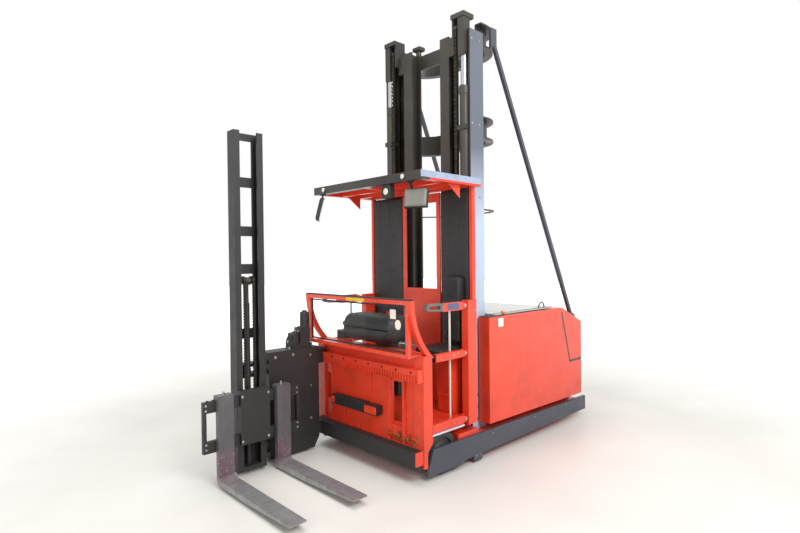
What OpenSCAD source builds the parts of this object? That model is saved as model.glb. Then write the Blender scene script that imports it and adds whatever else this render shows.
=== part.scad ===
// Man-up order picker truck with a turret head. All sizes are in millimetres.
// The stations along X are measured from the front of the side skirts, forwards positive,
// and the whole truck is then shifted so that the origin lies under its middle.

/* [Chassis] */
// Width over the side skirts
chassis_w = 1400; // [1300:10:1500]
// Length of the side skirts
chassis_len = 2520; // [2400:10:2700]
// Thickness of a side skirt
skirt_t = 26; // [16:1:30]
// Height of a skirt's top edge above the floor
skirt_h = 235; // [220:5:260]
// Gap between the front of a skirt and the floor
skirt_gap = 45; // [30:5:60]
// Gap between the floor and the skirt and frame behind the load wheel
floor_gap = 75; // [60:5:90]
// Diameter of a load wheel
load_wheel_d = 355; // [330:5:370]
// Width of a load wheel
load_wheel_w = 115; // [90:5:120]
// Distance from the skirt's front back to the load axle
load_axle_x = 200; // [195:5:220]
// Diameter of a load axle
load_axle_d = 50; // [40:1:60]
// Diameter of the driven wheel
drive_wheel_d = 360; // [320:5:370]
// Width of the driven wheel
drive_wheel_w = 140; // [110:5:150]
// Distance from the skirt's front back to the steering axis
drive_x = 2160; // [2120:5:2180]
// Radial running clearance of a shaft in its bore
shaft_fit = 0.05; // [0.02:0.01:0.1]
// Gap kept between pieces that move past each other
run_gap = 6; // [5:1:8]

/* [Body] */
// Width of the rear body
body_w = 1380; // [1300:10:1390]
// Distance from the skirt's front back to the rear body
body_front = 800; // [790:5:820]
// Distance from the skirt's front back to the end of the rear body
body_rear = 2453; // [2440:5:2500]
// Height of the rear body's top above the floor
body_h = 1222; // [1180:5:1260]
// Height of the body's lower edge above the floor
body_base = 262; // [250:2:270]
// Thickness of the body's walls
body_wall = 22; // [12:1:30]
// Height of the rear face where the sloping end starts
slope_h = 1048; // [1000:5:1080]
// Length of the sloping end
slope_len = 400; // [350:10:440]
// Thickness of the battery cover
cover_t = 14; // [8:1:18]
// Length of the battery cover
cover_len = 1010; // [900:10:1030]

/* [Mast] */
// Height of the mast's top when it is down
mast_h = 3790; // [3600:10:3850]
// Distance from the centre to the outside of an outer upright
outer_half = 550; // [540:2:556]
// Depth of an outer upright's channel
outer_depth = 130; // [124:2:140]
// Distance from the skirt's front back to the outer uprights
mast_front = 734; // [730:1:740]
// Distance from the centre to the inner edge of an inner upright
inner_half = 188; // [184:1:196]
// Width of an inner upright
inner_w = 110; // [104:2:112]
// Depth of an inner upright
inner_depth = 140; // [136:2:150]
// Thickness of the mast profiles' flanges
flange_t = 18; // [14:1:20]
// Outer diameter of a lift cylinder
barrel_d = 94; // [80:1:94]
// Diameter of a lift rod
rod_d = 60; // [45:1:64]
// Height of a lift cylinder's top
barrel_top = 3280; // [3200:10:3380]
// Lift of the inner mast
mast_lift = 2400; // [2000:50:2500]
// Pitch of the lift chains' links
chain_pitch = 38; // [38:2:60]

/* [Cab] */
// Width of the cab
cab_w = 1400; // [1300:10:1400]
// Height of the cab's front wall
front_wall_h = 970; // [950:5:990]
// Height of the platform's top
platform_h = 410; // [400:5:430]
// Thickness of the platform
platform_t = 40; // [30:1:42]
// Height of the front window's top rail
window_h = 1430; // [1400:5:1450]
// Distance that the front window stands ahead of the skirts
window_x = 165; // [150:5:180]
// Height of the overhead guard's top
guard_h = 2432; // [2380:5:2480]
// Thickness of the overhead guard
guard_t = 70; // [60:5:80]
// Width of the overhead guard
guard_w = 1420; // [1380:10:1430]
// Height of the gates' hinges
gate_h = 1355; // [1330:5:1380]
// Lift angle of the gates
gate_angle = 75; // [60:5:78]

/* [Turret head] */
// Distance ahead of the skirts of the swivel axis
swivel_x = 880; // [860:5:900]
// Distance of the swivel axis to the right of the centre, with the head parked
swivel_y = 630; // [620:5:635]
// Sideways travel of the head
traverse = 1240; // [1100:10:1260]
// Height of the traverse arm
arm_h = 950; // [900:10:960]
// Thickness of the traverse arm
arm_t = 150; // [120:5:160]
// Height of the lift mast on the head
aux_h = 2800; // [2600:10:2900]
// Width over the lift mast's two channels
aux_w = 258; // [250:2:270]
// Depth of the lift mast's channels
aux_depth = 110; // [104:2:112]
// Width of one channel
aux_leg_w = 52; // [50:1:56]
// Lift of the forks on the head's mast
fork_lift = 1800; // [1500:50:1850]
// Width of the fork carriage
carriage_w = 854; // [820:2:860]
// Width of a fork
fork_w = 128; // [110:2:130]
// Thickness of a fork's shank
fork_t = 45; // [38:1:50]
// Length of a fork's blade
fork_len = 1000; // [900:10:1050]
// Distance between the forks' middles
fork_spacing = 512; // [480:2:560]
// Gap between the lowered forks and the floor
fork_gap = 20; // [16:1:30]

/* [Hidden] */
$fn = 48;

// Colours, as the truck shows them
red = [0.83, 0.22, 0.13];
charcoal = [0.22, 0.23, 0.25];
black = [0.07, 0.07, 0.075];
steel = [0.55, 0.55, 0.56];
pale = [0.78, 0.78, 0.76];

chassis_half = chassis_w / 2;
body_half = body_w / 2;
cab_half = cab_w / 2;
face_gap = 0.3;

// The truck reaches from the rear of the skirts to the front end of the fork carriage
centre_x = (swivel_x + carriage_w / 2 - chassis_len) / 2;

// Load wheels between the skirt and the frame's inner leg plate
wheel_gap = 10;
wheel_y = chassis_half - skirt_t - wheel_gap - load_wheel_w / 2;
leg_t = 22;
leg_y = wheel_y - load_wheel_w / 2 - wheel_gap - leg_t;
leg_h = 282;
arch_r = load_wheel_d / 2 + wheel_gap;
drive_r = drive_wheel_d / 2;

// Mast stations, all measured from the skirts' front
mast_slot_rear = mast_front + 250;
mast_slot_half = outer_half + 22;
outer_front = mast_front + 58;
outer_rear = outer_front + outer_depth;
outer_w = 120;
inner_front = mast_front + run_gap;
inner_rear = inner_front + inner_depth;
inner_mid = (inner_front + inner_rear) / 2;
outer_mid = (outer_front + outer_rear) / 2;
upright_base = 110;
inner_base = upright_base + 40;
barrel_y = outer_half - 22 - barrel_d / 2;
barrel_x = mast_front + 1;
chain_w = 36;
chain_t = 20;
chain_y = barrel_y - barrel_d / 2 - run_gap - chain_w / 2;
sheave_r = 60;
sheave_x = barrel_x + 31;
crosshead_base = 3560;
crosshead_top = 3900;
pole_x = -inner_rear - 66;
pole_y = -285;
// Each row of a tie table: [height of the lower flange, height of the tie]
TIES = [[2850, 200], [3690, 210]];
tie_rear = 1300;
tie_corner = 300;
tie_flange = 60;
INNER_TIES = [[200, 140], [1300, 120], [2450, 120], [3640, 140]];
stay_top = [-1080, outer_half + 4, 3720];
stay_foot = [-2330, 628, 1135];

// Cab stations, measured from the skirts' front
wall_back = 10;
wall_front = 52;
cab_rear = mast_front - 64;
post_w = 100;
rear_post = [494, 607];
rear_post_w = 70;
platform_half = cab_half - rear_post_w - face_gap;
pad_in = 370;
pad_out = 600;
cab_under_half = leg_y - 32;

// Rails on the cab's front that carry the head
rail_end_left = 680;
rail_end_right = -650;
rail_top = [790, 890];
rail_low = [157, 256];
rail_top_front = 100;
rail_low_front = 130;
rack_pitch = 32;

// Head stations, measured from the skirts' front
arm_back = rail_low_front + 20;
arm_front = swivel_x - 215;
pivot_r = 26;
lug_r = 52;
aux_front_y = -swivel_y + 62 + aux_depth;
aux_back_y = -swivel_y + 62;
ear_low = 120;
ear_high = 800;
ear_t = 44;
carriage_back = aux_front_y + run_gap;
bar_t = 34;
shank_back = carriage_back + bar_t;
shank_front = shank_back + fork_t;
fork_x = swivel_x + 8;
ram_head_z = 1610;
chain_gap = 40;
ram_sheave_y = aux_back_y + 56;
ram_sheave_r = 24;
ram_d = 34;

// A box between two corners
module block(x, y, z)
    translate([x[0], y[0], z[0]]) cube([x[1] - x[0], y[1] - y[0], z[1] - z[0]]);

// A plate whose outline is drawn in X and Z, from one Y to another
module side_plate(outline, y)
    translate([0, y[1], 0]) rotate([90, 0, 0]) linear_extrude(y[1] - y[0]) polygon(outline);

module both_sides() {
    children();
    mirror([0, 1, 0]) children();
}

// A round bar along Y, centred on a point
module bar_y(x, y, z, d)
    translate([x, y[0], z]) rotate([-90, 0, 0]) cylinder(h = y[1] - y[0], d = d);

// A strut of square section between two points
module strut(a, b, size) {
    d = b - a;
    length = norm(d);
    translate(a) rotate([0, acos(d[2] / length), atan2(d[1], d[0])])
        translate([-size / 2, -size / 2, 0]) cube([size, size, length]);
}

module at_truck() translate([-centre_x, 0, 0]) children();

// Chassis

module leg_outline(y)
    difference() {
        side_plate([[-12, skirt_gap + 20], [-chassis_len + 70, floor_gap],
            [-chassis_len + 70, body_base - 4], [-body_front, leg_h], [-load_axle_x - 60, leg_h],
            [-60, skirt_h - 20], [-12, 130]], y);
        children();
    }

module chassis_frame() color(red) at_truck() {
    difference() {
        union() {
            both_sides() {
                leg_outline([leg_y, leg_y + leg_t]);
                block([-load_axle_x - arch_r - 260, -load_axle_x - arch_r],
                    [leg_y, chassis_half - skirt_t], [skirt_h - 60, leg_h]);
                block([-body_rear + 40, -load_axle_x - arch_r - 30],
                    [leg_y, chassis_half - skirt_t], [floor_gap, skirt_h - 30]);
                bar_y(-load_axle_x, [leg_y, chassis_half - skirt_t], load_wheel_d / 2, load_axle_d);
            }
            block([-body_front - 1130, -mast_front + 60], [-leg_y, leg_y], [floor_gap, 110]);
            block([-body_rear + 40, -drive_x - 250], [-leg_y, leg_y], [floor_gap, 110]);
            both_sides() block([-body_rear + 40, -body_front - 1130], [260, leg_y], [floor_gap, 110]);
            block([-55, -20], [-leg_y, leg_y], [48, 92]);
        }
        // Slot in which the mast stands on the floor plate
        block([-outer_rear - face_gap, -mast_front + 60], [-outer_half - face_gap, outer_half + face_gap],
            [110, leg_h + 1]);
    }
}

module skirt(side) {
    y = side > 0 ? [chassis_half - skirt_t + face_gap, chassis_half]
        : [-chassis_half, -chassis_half + skirt_t - face_gap];
    color(charcoal) at_truck() {
        difference() {
            side_plate([[0, skirt_gap], [-350, skirt_gap - 10], [-470, floor_gap - 15],
                [-chassis_len, floor_gap], [-chassis_len, skirt_h - 15], [-58, skirt_h + 10],
                [0, skirt_gap + 60]], y);
            bar_y(-load_axle_x, [y[0] - 1, y[1] + 1], load_wheel_d / 2, load_axle_d + 20);
        }
        block([-670, -560], y, [20, floor_gap]);
    }
}
module skirt_left() skirt(1);
module skirt_right() skirt(-1);

module load_wheel(side) {
    color(black) at_truck() translate([-load_axle_x, side * wheel_y, load_wheel_d / 2])
        rotate([90, 0, 0]) rotate_extrude($fn = 96) polygon([
            [load_axle_d / 2 + shaft_fit, -load_wheel_w / 2 + 4], [75, -load_wheel_w / 2 + 4],
            [90, -load_wheel_w / 2 + 22], [118, -load_wheel_w / 2 + 22],
            [126, -load_wheel_w / 2 + 6], [load_wheel_d / 2 - 16, -load_wheel_w / 2],
            [load_wheel_d / 2, -load_wheel_w / 2 + 14], [load_wheel_d / 2, load_wheel_w / 2 - 14],
            [load_wheel_d / 2 - 16, load_wheel_w / 2], [126, load_wheel_w / 2 - 6],
            [118, load_wheel_w / 2 - 22], [90, load_wheel_w / 2 - 22],
            [75, load_wheel_w / 2 - 4], [load_axle_d / 2 + shaft_fit, load_wheel_w / 2 - 4]]);
}
module load_wheel_left() load_wheel(1);
module load_wheel_right() load_wheel(-1);

yoke_top = 470;
drive_axle_d = 40;
module drive_wheel() color(black) at_truck() translate([-drive_x, 0, drive_r])
    rotate([90, 0, 0]) rotate_extrude($fn = 96) polygon([
        [drive_axle_d / 2 + shaft_fit, -drive_wheel_w / 2 + 10], [90, -drive_wheel_w / 2 + 10],
        [110, -drive_wheel_w / 2], [drive_r - 14, -drive_wheel_w / 2],
        [drive_r, -drive_wheel_w / 2 + 12], [drive_r, drive_wheel_w / 2 - 12],
        [drive_r - 14, drive_wheel_w / 2], [110, drive_wheel_w / 2],
        [90, drive_wheel_w / 2 - 10], [drive_axle_d / 2 + shaft_fit, drive_wheel_w / 2 - 10]]);

module steering_yoke() color(charcoal) at_truck() translate([-drive_x, 0, 0]) {
    both_sides() {
        hull() {
            translate([0, drive_wheel_w / 2 + 8, drive_r]) rotate([-90, 0, 0]) cylinder(h = 26, r = 60);
            block([-60, 60], [drive_wheel_w / 2 + 8, drive_wheel_w / 2 + 34], [drive_r + 200, drive_r + 210]);
        }
    }
    bar_y(0, [-drive_wheel_w / 2 - 8, drive_wheel_w / 2 + 8], drive_r, drive_axle_d);
    translate([0, 0, drive_r + 204]) cylinder(h = 40, r = 180);
    translate([0, 0, drive_r + 244]) cylinder(h = yoke_top - drive_r - 204, r = 60);
    translate([0, 0, yoke_top + 40]) cylinder(h = 330, r = 120);
}

// Rear body, battery and cover

bay_front = mast_slot_rear + body_wall;
bay_rear = bay_front + 880;
bay_half = body_half - body_wall;
drive_bay_front = bay_rear + body_wall;
module body_shell() color(red) at_truck() {
    top_x = body_rear - slope_len;
    difference() {
        union() {
            side_plate([[-body_front, body_base + 20], [-body_front, body_h], [-top_x, body_h],
                [-body_rear, slope_h], [-body_rear, body_base]], [-body_half, body_half]);
        }
        // Slot for the mast at the front
        block([-mast_slot_rear, -body_front + 10], [-mast_slot_half, mast_slot_half],
            [body_base - 10, body_h + 10]);
        // Battery bay, open at the top, and hollow wings beside the mast
        block([-bay_rear, -bay_front], [-bay_half, bay_half], [body_base - 10, body_h + 10]);
        // Drive bay, open at the bottom
        block([-body_rear + body_wall, -drive_bay_front], [-bay_half, bay_half],
            [body_base - 10, slope_h - 40]);
    }
    // Head plate that carries the drive unit's turntable
    difference() {
        block([-body_rear + body_wall, -drive_bay_front], [-bay_half, bay_half],
            [yoke_top - 26, yoke_top]);
        translate([-drive_x, 0, yoke_top - 40]) cylinder(h = 60, r = 60 + shaft_fit);
    }
}

battery_h = 940;
module battery() color(charcoal) at_truck()
    block([-bay_rear + 20, -bay_front - 20], [-leg_y + 12, leg_y - 12], [110 + face_gap, 110 + battery_h]);

cover_front = mast_slot_rear - 14;
hinge_d = 18;
module battery_cover() color(pale) at_truck() {
    y = body_half - 70;
    block([-cover_front - cover_len, -cover_front], [-y, y], [body_h + face_gap, body_h + cover_t]);
    // Loop handles near the rear corners
    for (side = [-1, 1]) translate([-cover_front - cover_len + 150, side * (y - 40), body_h + cover_t - 2])
        rotate([90, 0, 0]) rotate_extrude(angle = 180, $fn = 40) translate([52, 0]) circle(r = 7, $fn = 16);
    // Hinge barrel along the right edge
    translate([-cover_front - cover_len + 100, -y - hinge_d / 2 - 2, body_h + hinge_d / 2 + 1])
        rotate([0, 90, 0]) cylinder(h = cover_len - 200, d = hinge_d);
    block([-cover_front - cover_len + 100, -cover_front - 100], [-y - hinge_d / 2, -y + 1],
        [body_h + 4, body_h + cover_t]);
}

// Mast

module outer_mast() color(charcoal) at_truck() {
    both_sides() {
        y0 = outer_half - outer_w;
        web = 22;
        // Web plate that also shields the lift cylinder, with two flanges turned inwards
        block([-outer_rear, -mast_front], [outer_half - web, outer_half], [upright_base + face_gap, mast_h]);
        for (x = [-outer_rear, -outer_front - flange_t])
            block([x, x + flange_t], [y0, outer_half - web + 1], [upright_base, mast_h]);
        // Foot on the chassis
        block([-outer_rear, -mast_front + 54], [y0 - 40, outer_half], [110 + face_gap, 128]);
    }
    // Guide pads behind the inner uprights
    for (z = [3000, 3740]) both_sides()
        block([-outer_rear, -inner_rear - 3], [inner_half + 80, outer_half - outer_w + 2], [z - 60, z]);
}

module tie_plan(inset) intersection() {
    translate([-tie_rear - 1, -outer_half]) square([tie_rear - outer_rear + 1 - face_gap, 2 * outer_half]);
    difference() {
        half = outer_half - 20 - inset;
        rear = -tie_rear + inset;
        r = tie_corner - inset;
        union() {
            translate([rear + r, -half]) square([tie_rear - outer_rear - inset - r, 2 * half]);
            translate([rear, -half + r]) square([r + 1, 2 * (half - r)]);
            for (s = [-1, 1]) translate([rear + r, s * (half - r)]) circle(r = r, $fn = 64);
        }
        children();
    }
}

module mast_ties() color(charcoal) at_truck() {
    for (row = TIES) {
        z = row[0];
        height = row[1];
        // Web of the channel
        translate([0, 0, z]) linear_extrude(height)
            tie_plan(tie_flange) tie_core(tie_flange + 14);
        // Flanges that stand out behind it
        for (level = [z, z + height - 14]) translate([0, 0, level]) linear_extrude(14)
            tie_plan(0) tie_core(tie_flange + 14);
    }
    // Thin guard ring below
    translate([0, 0, 2190]) linear_extrude(10) tie_plan(0) tie_core(34);
}
module tie_core(inset) {
    half = outer_half - 20 - inset;
    rear = -tie_rear + inset;
    r = tie_corner - inset;
    translate([rear + r, -half]) square([tie_rear, 2 * half]);
    translate([rear, -half + r]) square([r + 1, 2 * (half - r)]);
    for (s = [-1, 1]) translate([rear + r, s * (half - r)]) circle(r = r, $fn = 64);
}

module mast_stays() color(charcoal) at_truck() both_sides() {
    strut(stay_foot, stay_top, 34);
    half = outer_half - 20;
    block([-1125, -1040], [half + face_gap, half + 26], [3690, 3880]);
    // Foot that follows the body's slope
    fall = (body_h - slope_h) / slope_len;
    side_plate([for (p = [[-2380, 0], [-2380, 46], [-2290, 46], [-2290, 0]])
        [p[0], body_h + fall * (p[0] + body_rear - slope_len) + p[1] + 1]], [600, 655]);
}

module lift_barrels() color(charcoal) at_truck() both_sides() {
    translate([-barrel_x, barrel_y, 0]) {
        difference() {
            union() {
                translate([0, 0, 128]) cylinder(h = barrel_top - 128, d = barrel_d - 8);
                translate([0, 0, barrel_top - 60]) cylinder(h = 60, d = barrel_d);
                translate([0, 0, 128]) cylinder(h = 60, d = barrel_d);
            }
            translate([0, 0, 600]) cylinder(h = barrel_top, d = rod_d + 2 * shaft_fit);
        }
    }
    // Clamp straps to the upright
    for (z = [900, 1900, 2900]) difference() {
        block([-barrel_x - barrel_d / 2, -barrel_x + barrel_d / 2],
            [barrel_y - barrel_d / 2 + 1, outer_half - 22], [z, z + 40]);
        translate([-barrel_x, barrel_y, z - 1]) cylinder(h = 42, d = barrel_d - 9);
    }
}

module centre_pole() color(charcoal) at_truck() {
    translate([pole_x, pole_y, 110]) cylinder(h = 3700, d = 44);
    translate([pole_x, pole_y, 3809]) cylinder(h = 62, d = 56);
    block([pole_x - 40, pole_x + 40], [pole_y - 50, pole_y + 50], [3870, 3905]);
}

module inner_mast() color(charcoal) at_truck() {
    web = 16;
    both_sides() {
        y0 = inner_half;
        y1 = inner_half + inner_w;
        mid = (y0 + y1) / 2;
        for (x = [-inner_rear, -inner_front - flange_t])
            block([x, x + flange_t], [y0, y1], [inner_base, mast_h]);
        block([-inner_rear, -inner_front], [mid - web / 2, mid + web / 2], [inner_base, mast_h]);
        // Rollers that run in the outer channel
        for (z = [inner_base + 90, inner_base + 520]) {
            bar_y(-outer_mid, [mid, outer_half - outer_w + 12], z, 36);
            bar_y(-outer_mid, [outer_half - outer_w + 6, outer_half - 28], z,
                outer_depth - 2 * flange_t - 2 * face_gap);
        }
    }
    for (row = INNER_TIES)
        block([-inner_rear - 16, -inner_rear + 1], [-inner_half - 16, inner_half + 16],
            [row[0], row[0] + row[1]]);
}

module lift_rods() color(steel) at_truck() both_sides()
    translate([-barrel_x, barrel_y, barrel_top - mast_lift - 180])
        cylinder(h = crosshead_base - barrel_top + mast_lift + 180, d = rod_d);

module crossheads() color(charcoal) at_truck() both_sides() {
    y_in = chain_y - chain_w / 2 - 24;
    // Block on the rod's end
    block([-barrel_x - 44, -barrel_x + 44], [barrel_y - 34, barrel_y + 34], [crosshead_base, crosshead_top]);
    // Cheeks beside the sheave
    block([-sheave_x - 62, -sheave_x + 62], [y_in, y_in + 18], [crosshead_base + 120, crosshead_top]);
    // Arm to the inner upright
    block([-inner_rear + 10, -inner_front], [inner_half + inner_w + face_gap, y_in + 1], [mast_h - 190, mast_h - 20]);
    // Top cap
    block([-sheave_x - 62, -barrel_x + 50], [y_in, barrel_y + 40], [crosshead_top - 1, crosshead_top + 40]);
    bar_y(-sheave_x, [y_in + 17, barrel_y - 33], crosshead_top - 100, 30);
    bar_y(-sheave_x, [chain_y - chain_w / 2, chain_y + chain_w / 2], crosshead_top - 100, 2 * sheave_r - chain_t);
}

// A run of leaf chain: alternate links, each narrower than the last
module chain_run(x, y, z0, z1, w, t, pitch) {
    count = floor((z1 - z0) / pitch);
    block([x - t * 0.3, x + t * 0.3], [y - w / 2 + 4, y + w / 2 - 4], [z0, z1]);
    for (i = [0:count - 1])
        block([x - t / 2, x + t / 2], [y - w / 2, y + w / 2],
            [z0 + i * pitch, z0 + i * pitch + pitch * 0.62]);
}

// The stretch of chain that lies on the top half of a sheave whose axis is along Y
module chain_wrap(x, y, z, r, w, t)
    translate([x, y + w / 2, z]) rotate([90, 0, 0]) rotate_extrude(angle = 180)
        translate([r - t / 2 + face_gap, 0]) square([t - face_gap, w]);

module mast_chains() color(black) at_truck() both_sides() {
    chain_wrap(-sheave_x, chain_y, crosshead_top - 100, sheave_r, chain_w, chain_t);
    chain_run(-sheave_x + sheave_r, chain_y, 1150, crosshead_top - 100, chain_w, chain_t, chain_pitch);
    chain_run(-sheave_x - sheave_r, chain_y, 950, crosshead_top - 100, chain_w, chain_t, chain_pitch);
}

// Cab

module cab_carriage() color(charcoal) at_truck() {
    plate_y = [118, 140];
    both_sides() {
        block([-inner_rear + 20, -cab_rear - 10], plate_y, [260, 1260]);
        for (z = [360, 1160]) {
            bar_y(-inner_mid, [139, inner_half + 6], z, 40);
            bar_y(-inner_mid, [inner_half + 4, inner_half + inner_w / 2 - 12], z,
                inner_depth - 2 * flange_t - 2 * face_gap);
        }
    }
    // Cross plates that tie the carriage to the cab's back
    for (z = [260, 1180]) block([-cab_rear - 40, -cab_rear - face_gap], [-140, 140], [z, z + 80]);
    // Chain anchors
    both_sides() block([-cab_rear - 22, -cab_rear - 4], [139, chain_y - chain_w / 2 - 8], [1180, 1220]);
}

module cab_platform() color(red) at_truck() {
    block([-cab_rear + face_gap, -47 - face_gap], [-platform_half, platform_half],
        [platform_h - platform_t, platform_h]);
    block([-48, wall_back - face_gap], [-cab_half + post_w + face_gap, cab_half - post_w - face_gap],
        [platform_h - platform_t, platform_h]);
    // Box under the platform, between the chassis legs
    difference() {
        block([-cab_rear + face_gap, wall_back - face_gap], [-cab_under_half, cab_under_half],
            [120, platform_h - platform_t + 1]);
        block([-cab_rear + 24, -20], [-cab_under_half + 24, cab_under_half - 24], [110, platform_h - platform_t]);
    }
}

module cab_front() color(red) at_truck() {
    hole_y = [-cab_half + post_w, -480];
    slot_y = [320, 450];
    difference() {
        block([wall_back, wall_back + 20], [-cab_half + 10, cab_half - 10], [112, front_wall_h]);
        block([wall_back - 1, wall_back + 21], hole_y, [450, 690]);
        block([wall_back - 1, wall_back + 21], slot_y, [390, 750]);
    }
    // Corner posts, cut away over the skirts
    both_sides() side_plate([[wall_front, 118], [wall_front, front_wall_h], [-47, front_wall_h],
        [-47, 300], [wall_back, 240], [wall_back, 118]], [cab_half - post_w, cab_half]);
    // Ribs
    for (y = [-480, 300, 470]) block([wall_back + 19, wall_front], [y - 14, y + 14], [256, 800]);
    for (y = [-300, 60]) block([wall_back + 19, wall_back + 32], [y - 10, y + 10], [256, 800]);
    // Bands that carry the two rails
    block([wall_back + 19, wall_front], [-cab_half + post_w - 1, cab_half - post_w + 1], [112, 270]);
    block([wall_back + 19, wall_front], [-cab_half + post_w - 1, cab_half - post_w + 1], [790, 895]);
}

module upper_rail() color(red) at_truck() {
    block([wall_front + face_gap, rail_top_front], [rail_end_right, rail_end_left], [rail_top[1] - 48, rail_top[1]]);
    block([wall_front + face_gap, rail_top_front - 10], [rail_end_right, rail_end_left], [rail_top[0] + 16, rail_top[1] - 47]);
    // Rack teeth below the bar
    count = floor((rail_end_left - rail_end_right) / rack_pitch);
    for (i = [0:count - 1])
        block([rail_top_front - 30, rail_top_front - 2],
            [rail_end_right + i * rack_pitch + 4, rail_end_right + i * rack_pitch + 4 + rack_pitch * 0.55],
            [rail_top[0], rail_top[1] - 47]);
}

module lower_rail() color(black) at_truck() {
    block([wall_front + face_gap, rail_low_front - 32], [rail_end_right, rail_end_left], [rail_low[0] - 46, rail_low[1] + 4]);
    block([rail_low_front - 33, rail_low_front], [rail_end_right, rail_end_left], rail_low);
}

module energy_chain() color(black) at_truck()
    block([wall_back + 32 + face_gap, wall_front + 55], [-420, 200], [440, 520]);

module window_frame() color(red) at_truck() {
    r_mid = 617;
    arc_x = window_x - r_mid;
    rail = 34;
    // Curved side members that run down to the corner posts
    both_sides() translate([arc_x, cab_half, window_h]) rotate([90, 0, 0]) intersection() {
        rotate_extrude($fn = 128) translate([r_mid - 20, 0]) square([40, 40]);
        linear_extrude(40) polygon([[0, 0], [800, 0], [800, front_wall_h + face_gap - window_h], [0, front_wall_h + face_gap - window_h]]);
    }
    // Top and bottom rails
    block([window_x - 20, window_x + 20], [-cab_half, cab_half], [window_h - rail, window_h]);
    block([window_x - 20, window_x + 14], [-cab_half + 39, cab_half - 39], [front_wall_h + 15, front_wall_h + 45]);
    // Shelf from the wall's top forward to the bottom rail
    block([-40, window_x - 19], [-cab_half + 39, cab_half - 39], [front_wall_h + 22, front_wall_h + 34]);
    block([-40, wall_front], [-cab_half, cab_half], [front_wall_h + face_gap, front_wall_h + 23]);
    // Stiles beside the glass
    both_sides() block([window_x - 20, window_x + 14], [cab_half - 66, cab_half - 39],
        [front_wall_h + 44, window_h - rail + 1]);
}

module front_glass() color([0.8, 0.85, 0.86, 0.4]) at_truck()
    block([window_x - 8, window_x - 2], [-cab_half + 66 + face_gap, cab_half - 66 - face_gap],
        [front_wall_h + 45 + face_gap, window_h - 34 - face_gap]);

module cab_back() color(black) at_truck() {
    // Padded pillars beside the rear window
    both_sides() translate([0, 0, platform_h + face_gap])
        linear_extrude(guard_h - guard_t - platform_h - 2 * face_gap)
        polygon([[-cab_rear, 200], [-cab_rear, pad_out + 30], [-600, pad_out + 30], [-600, pad_in],
            [-cab_rear + 16, 240], [-cab_rear + 16, 200]]);
    // Wall below the rear window
    block([-cab_rear, -cab_rear + 16], [-201, 201], [platform_h + face_gap, 1470]);
    block([-cab_rear, -cab_rear + 16], [-201, 201], [2270, guard_h - guard_t - face_gap]);
}

module rear_posts() color(red) at_truck() both_sides() {
    // Ears and pins that carry the gate bars
    for (hinge = [top_hinge, mid_hinge, low_hinge]) {
        block([-rear_post[0] - 1, hinge[0] + 16], [cab_half - rear_post_w, bar_y0 - face_gap],
            [hinge[1] - 26, hinge[1] + 26]);
        bar_y(hinge[0], [bar_y0 - 2, bar_y1], hinge[1], gate_pin_d);
    }
    block([-rear_post[1], -rear_post[0]], [cab_half - rear_post_w, cab_half], [345, gate_h + 40]);
    block([-rear_post[1] - 40, -rear_post[1] + 1], [cab_half - rear_post_w, cab_half - 40], [platform_h + face_gap, guard_h - guard_t - face_gap]);
}

module overhead_guard() color(red) at_truck() {
    half = guard_w / 2;
    difference() {
        block([-cab_rear, 70], [-half, half], [guard_h - guard_t, guard_h]);
        block([-cab_rear + 60, 10], [-half + 60, half - 60], [guard_h - guard_t - 1, guard_h - 14]);
    }
    for (x = [-460, -230]) block([x - 20, x + 20], [-half + 59, half - 59], [guard_h - guard_t, guard_h - 13]);
    block([-cab_rear + 59, 11], [-30, 30], [guard_h - guard_t, guard_h - 13]);
}

module head_lamps() color(steel) at_truck() {
    for (y = [-547, 515]) translate([70 + face_gap, y, guard_h - guard_t / 2])
        rotate([0, 90, 0]) cylinder(h = 12, r = 22);
}

module mirrors() color(charcoal) at_truck() {
    translate([0, 590, 2225]) rotate([0, -12, 25]) cube([40, 190, 150], center = true);
    strut([20, 560, 2290], [20, 540, guard_h - guard_t - 8], 16);
    translate([75, -600, 2220]) rotate([0, -14, -40]) cube([24, 120, 220], center = true);
    strut([70, -600, 2300], [50, -590, guard_h - guard_t - 8], 14);
    for (p = [[20, 540], [50, -590]]) block([p[0] - 20, p[0] + 19], [p[1] - 24, p[1] + 24],
        [guard_h - guard_t - 10, guard_h - guard_t - face_gap]);
}

module seat() color(black) at_truck() {
    block([-600 + face_gap, -520], [pad_in + 10, 590], [1000, 1610]);
    block([-600 + face_gap, -260], [280, 590], [900, 1000]);
    block([-600 + face_gap, -420], [pad_in + 10, 560], [platform_h + face_gap, 901]);
}

module console() color(black) at_truck() {
    block([-180, 60], [-560, 180], [1010, 1180]);
    block([-160, -40], [-500, 100], [600, 1011]);
}

// Gates: three bars and the link rod that keeps them parallel

bar_y0 = cab_half - 48;
bar_y1 = cab_half - 8;
top_hinge = [-rear_post[0] + 26, gate_h];
mid_hinge = [-rear_post[0] + 26, 955];
low_hinge = [-rear_post[0] + 26, 402];
link_x = 150;
link_d = 12;

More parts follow.
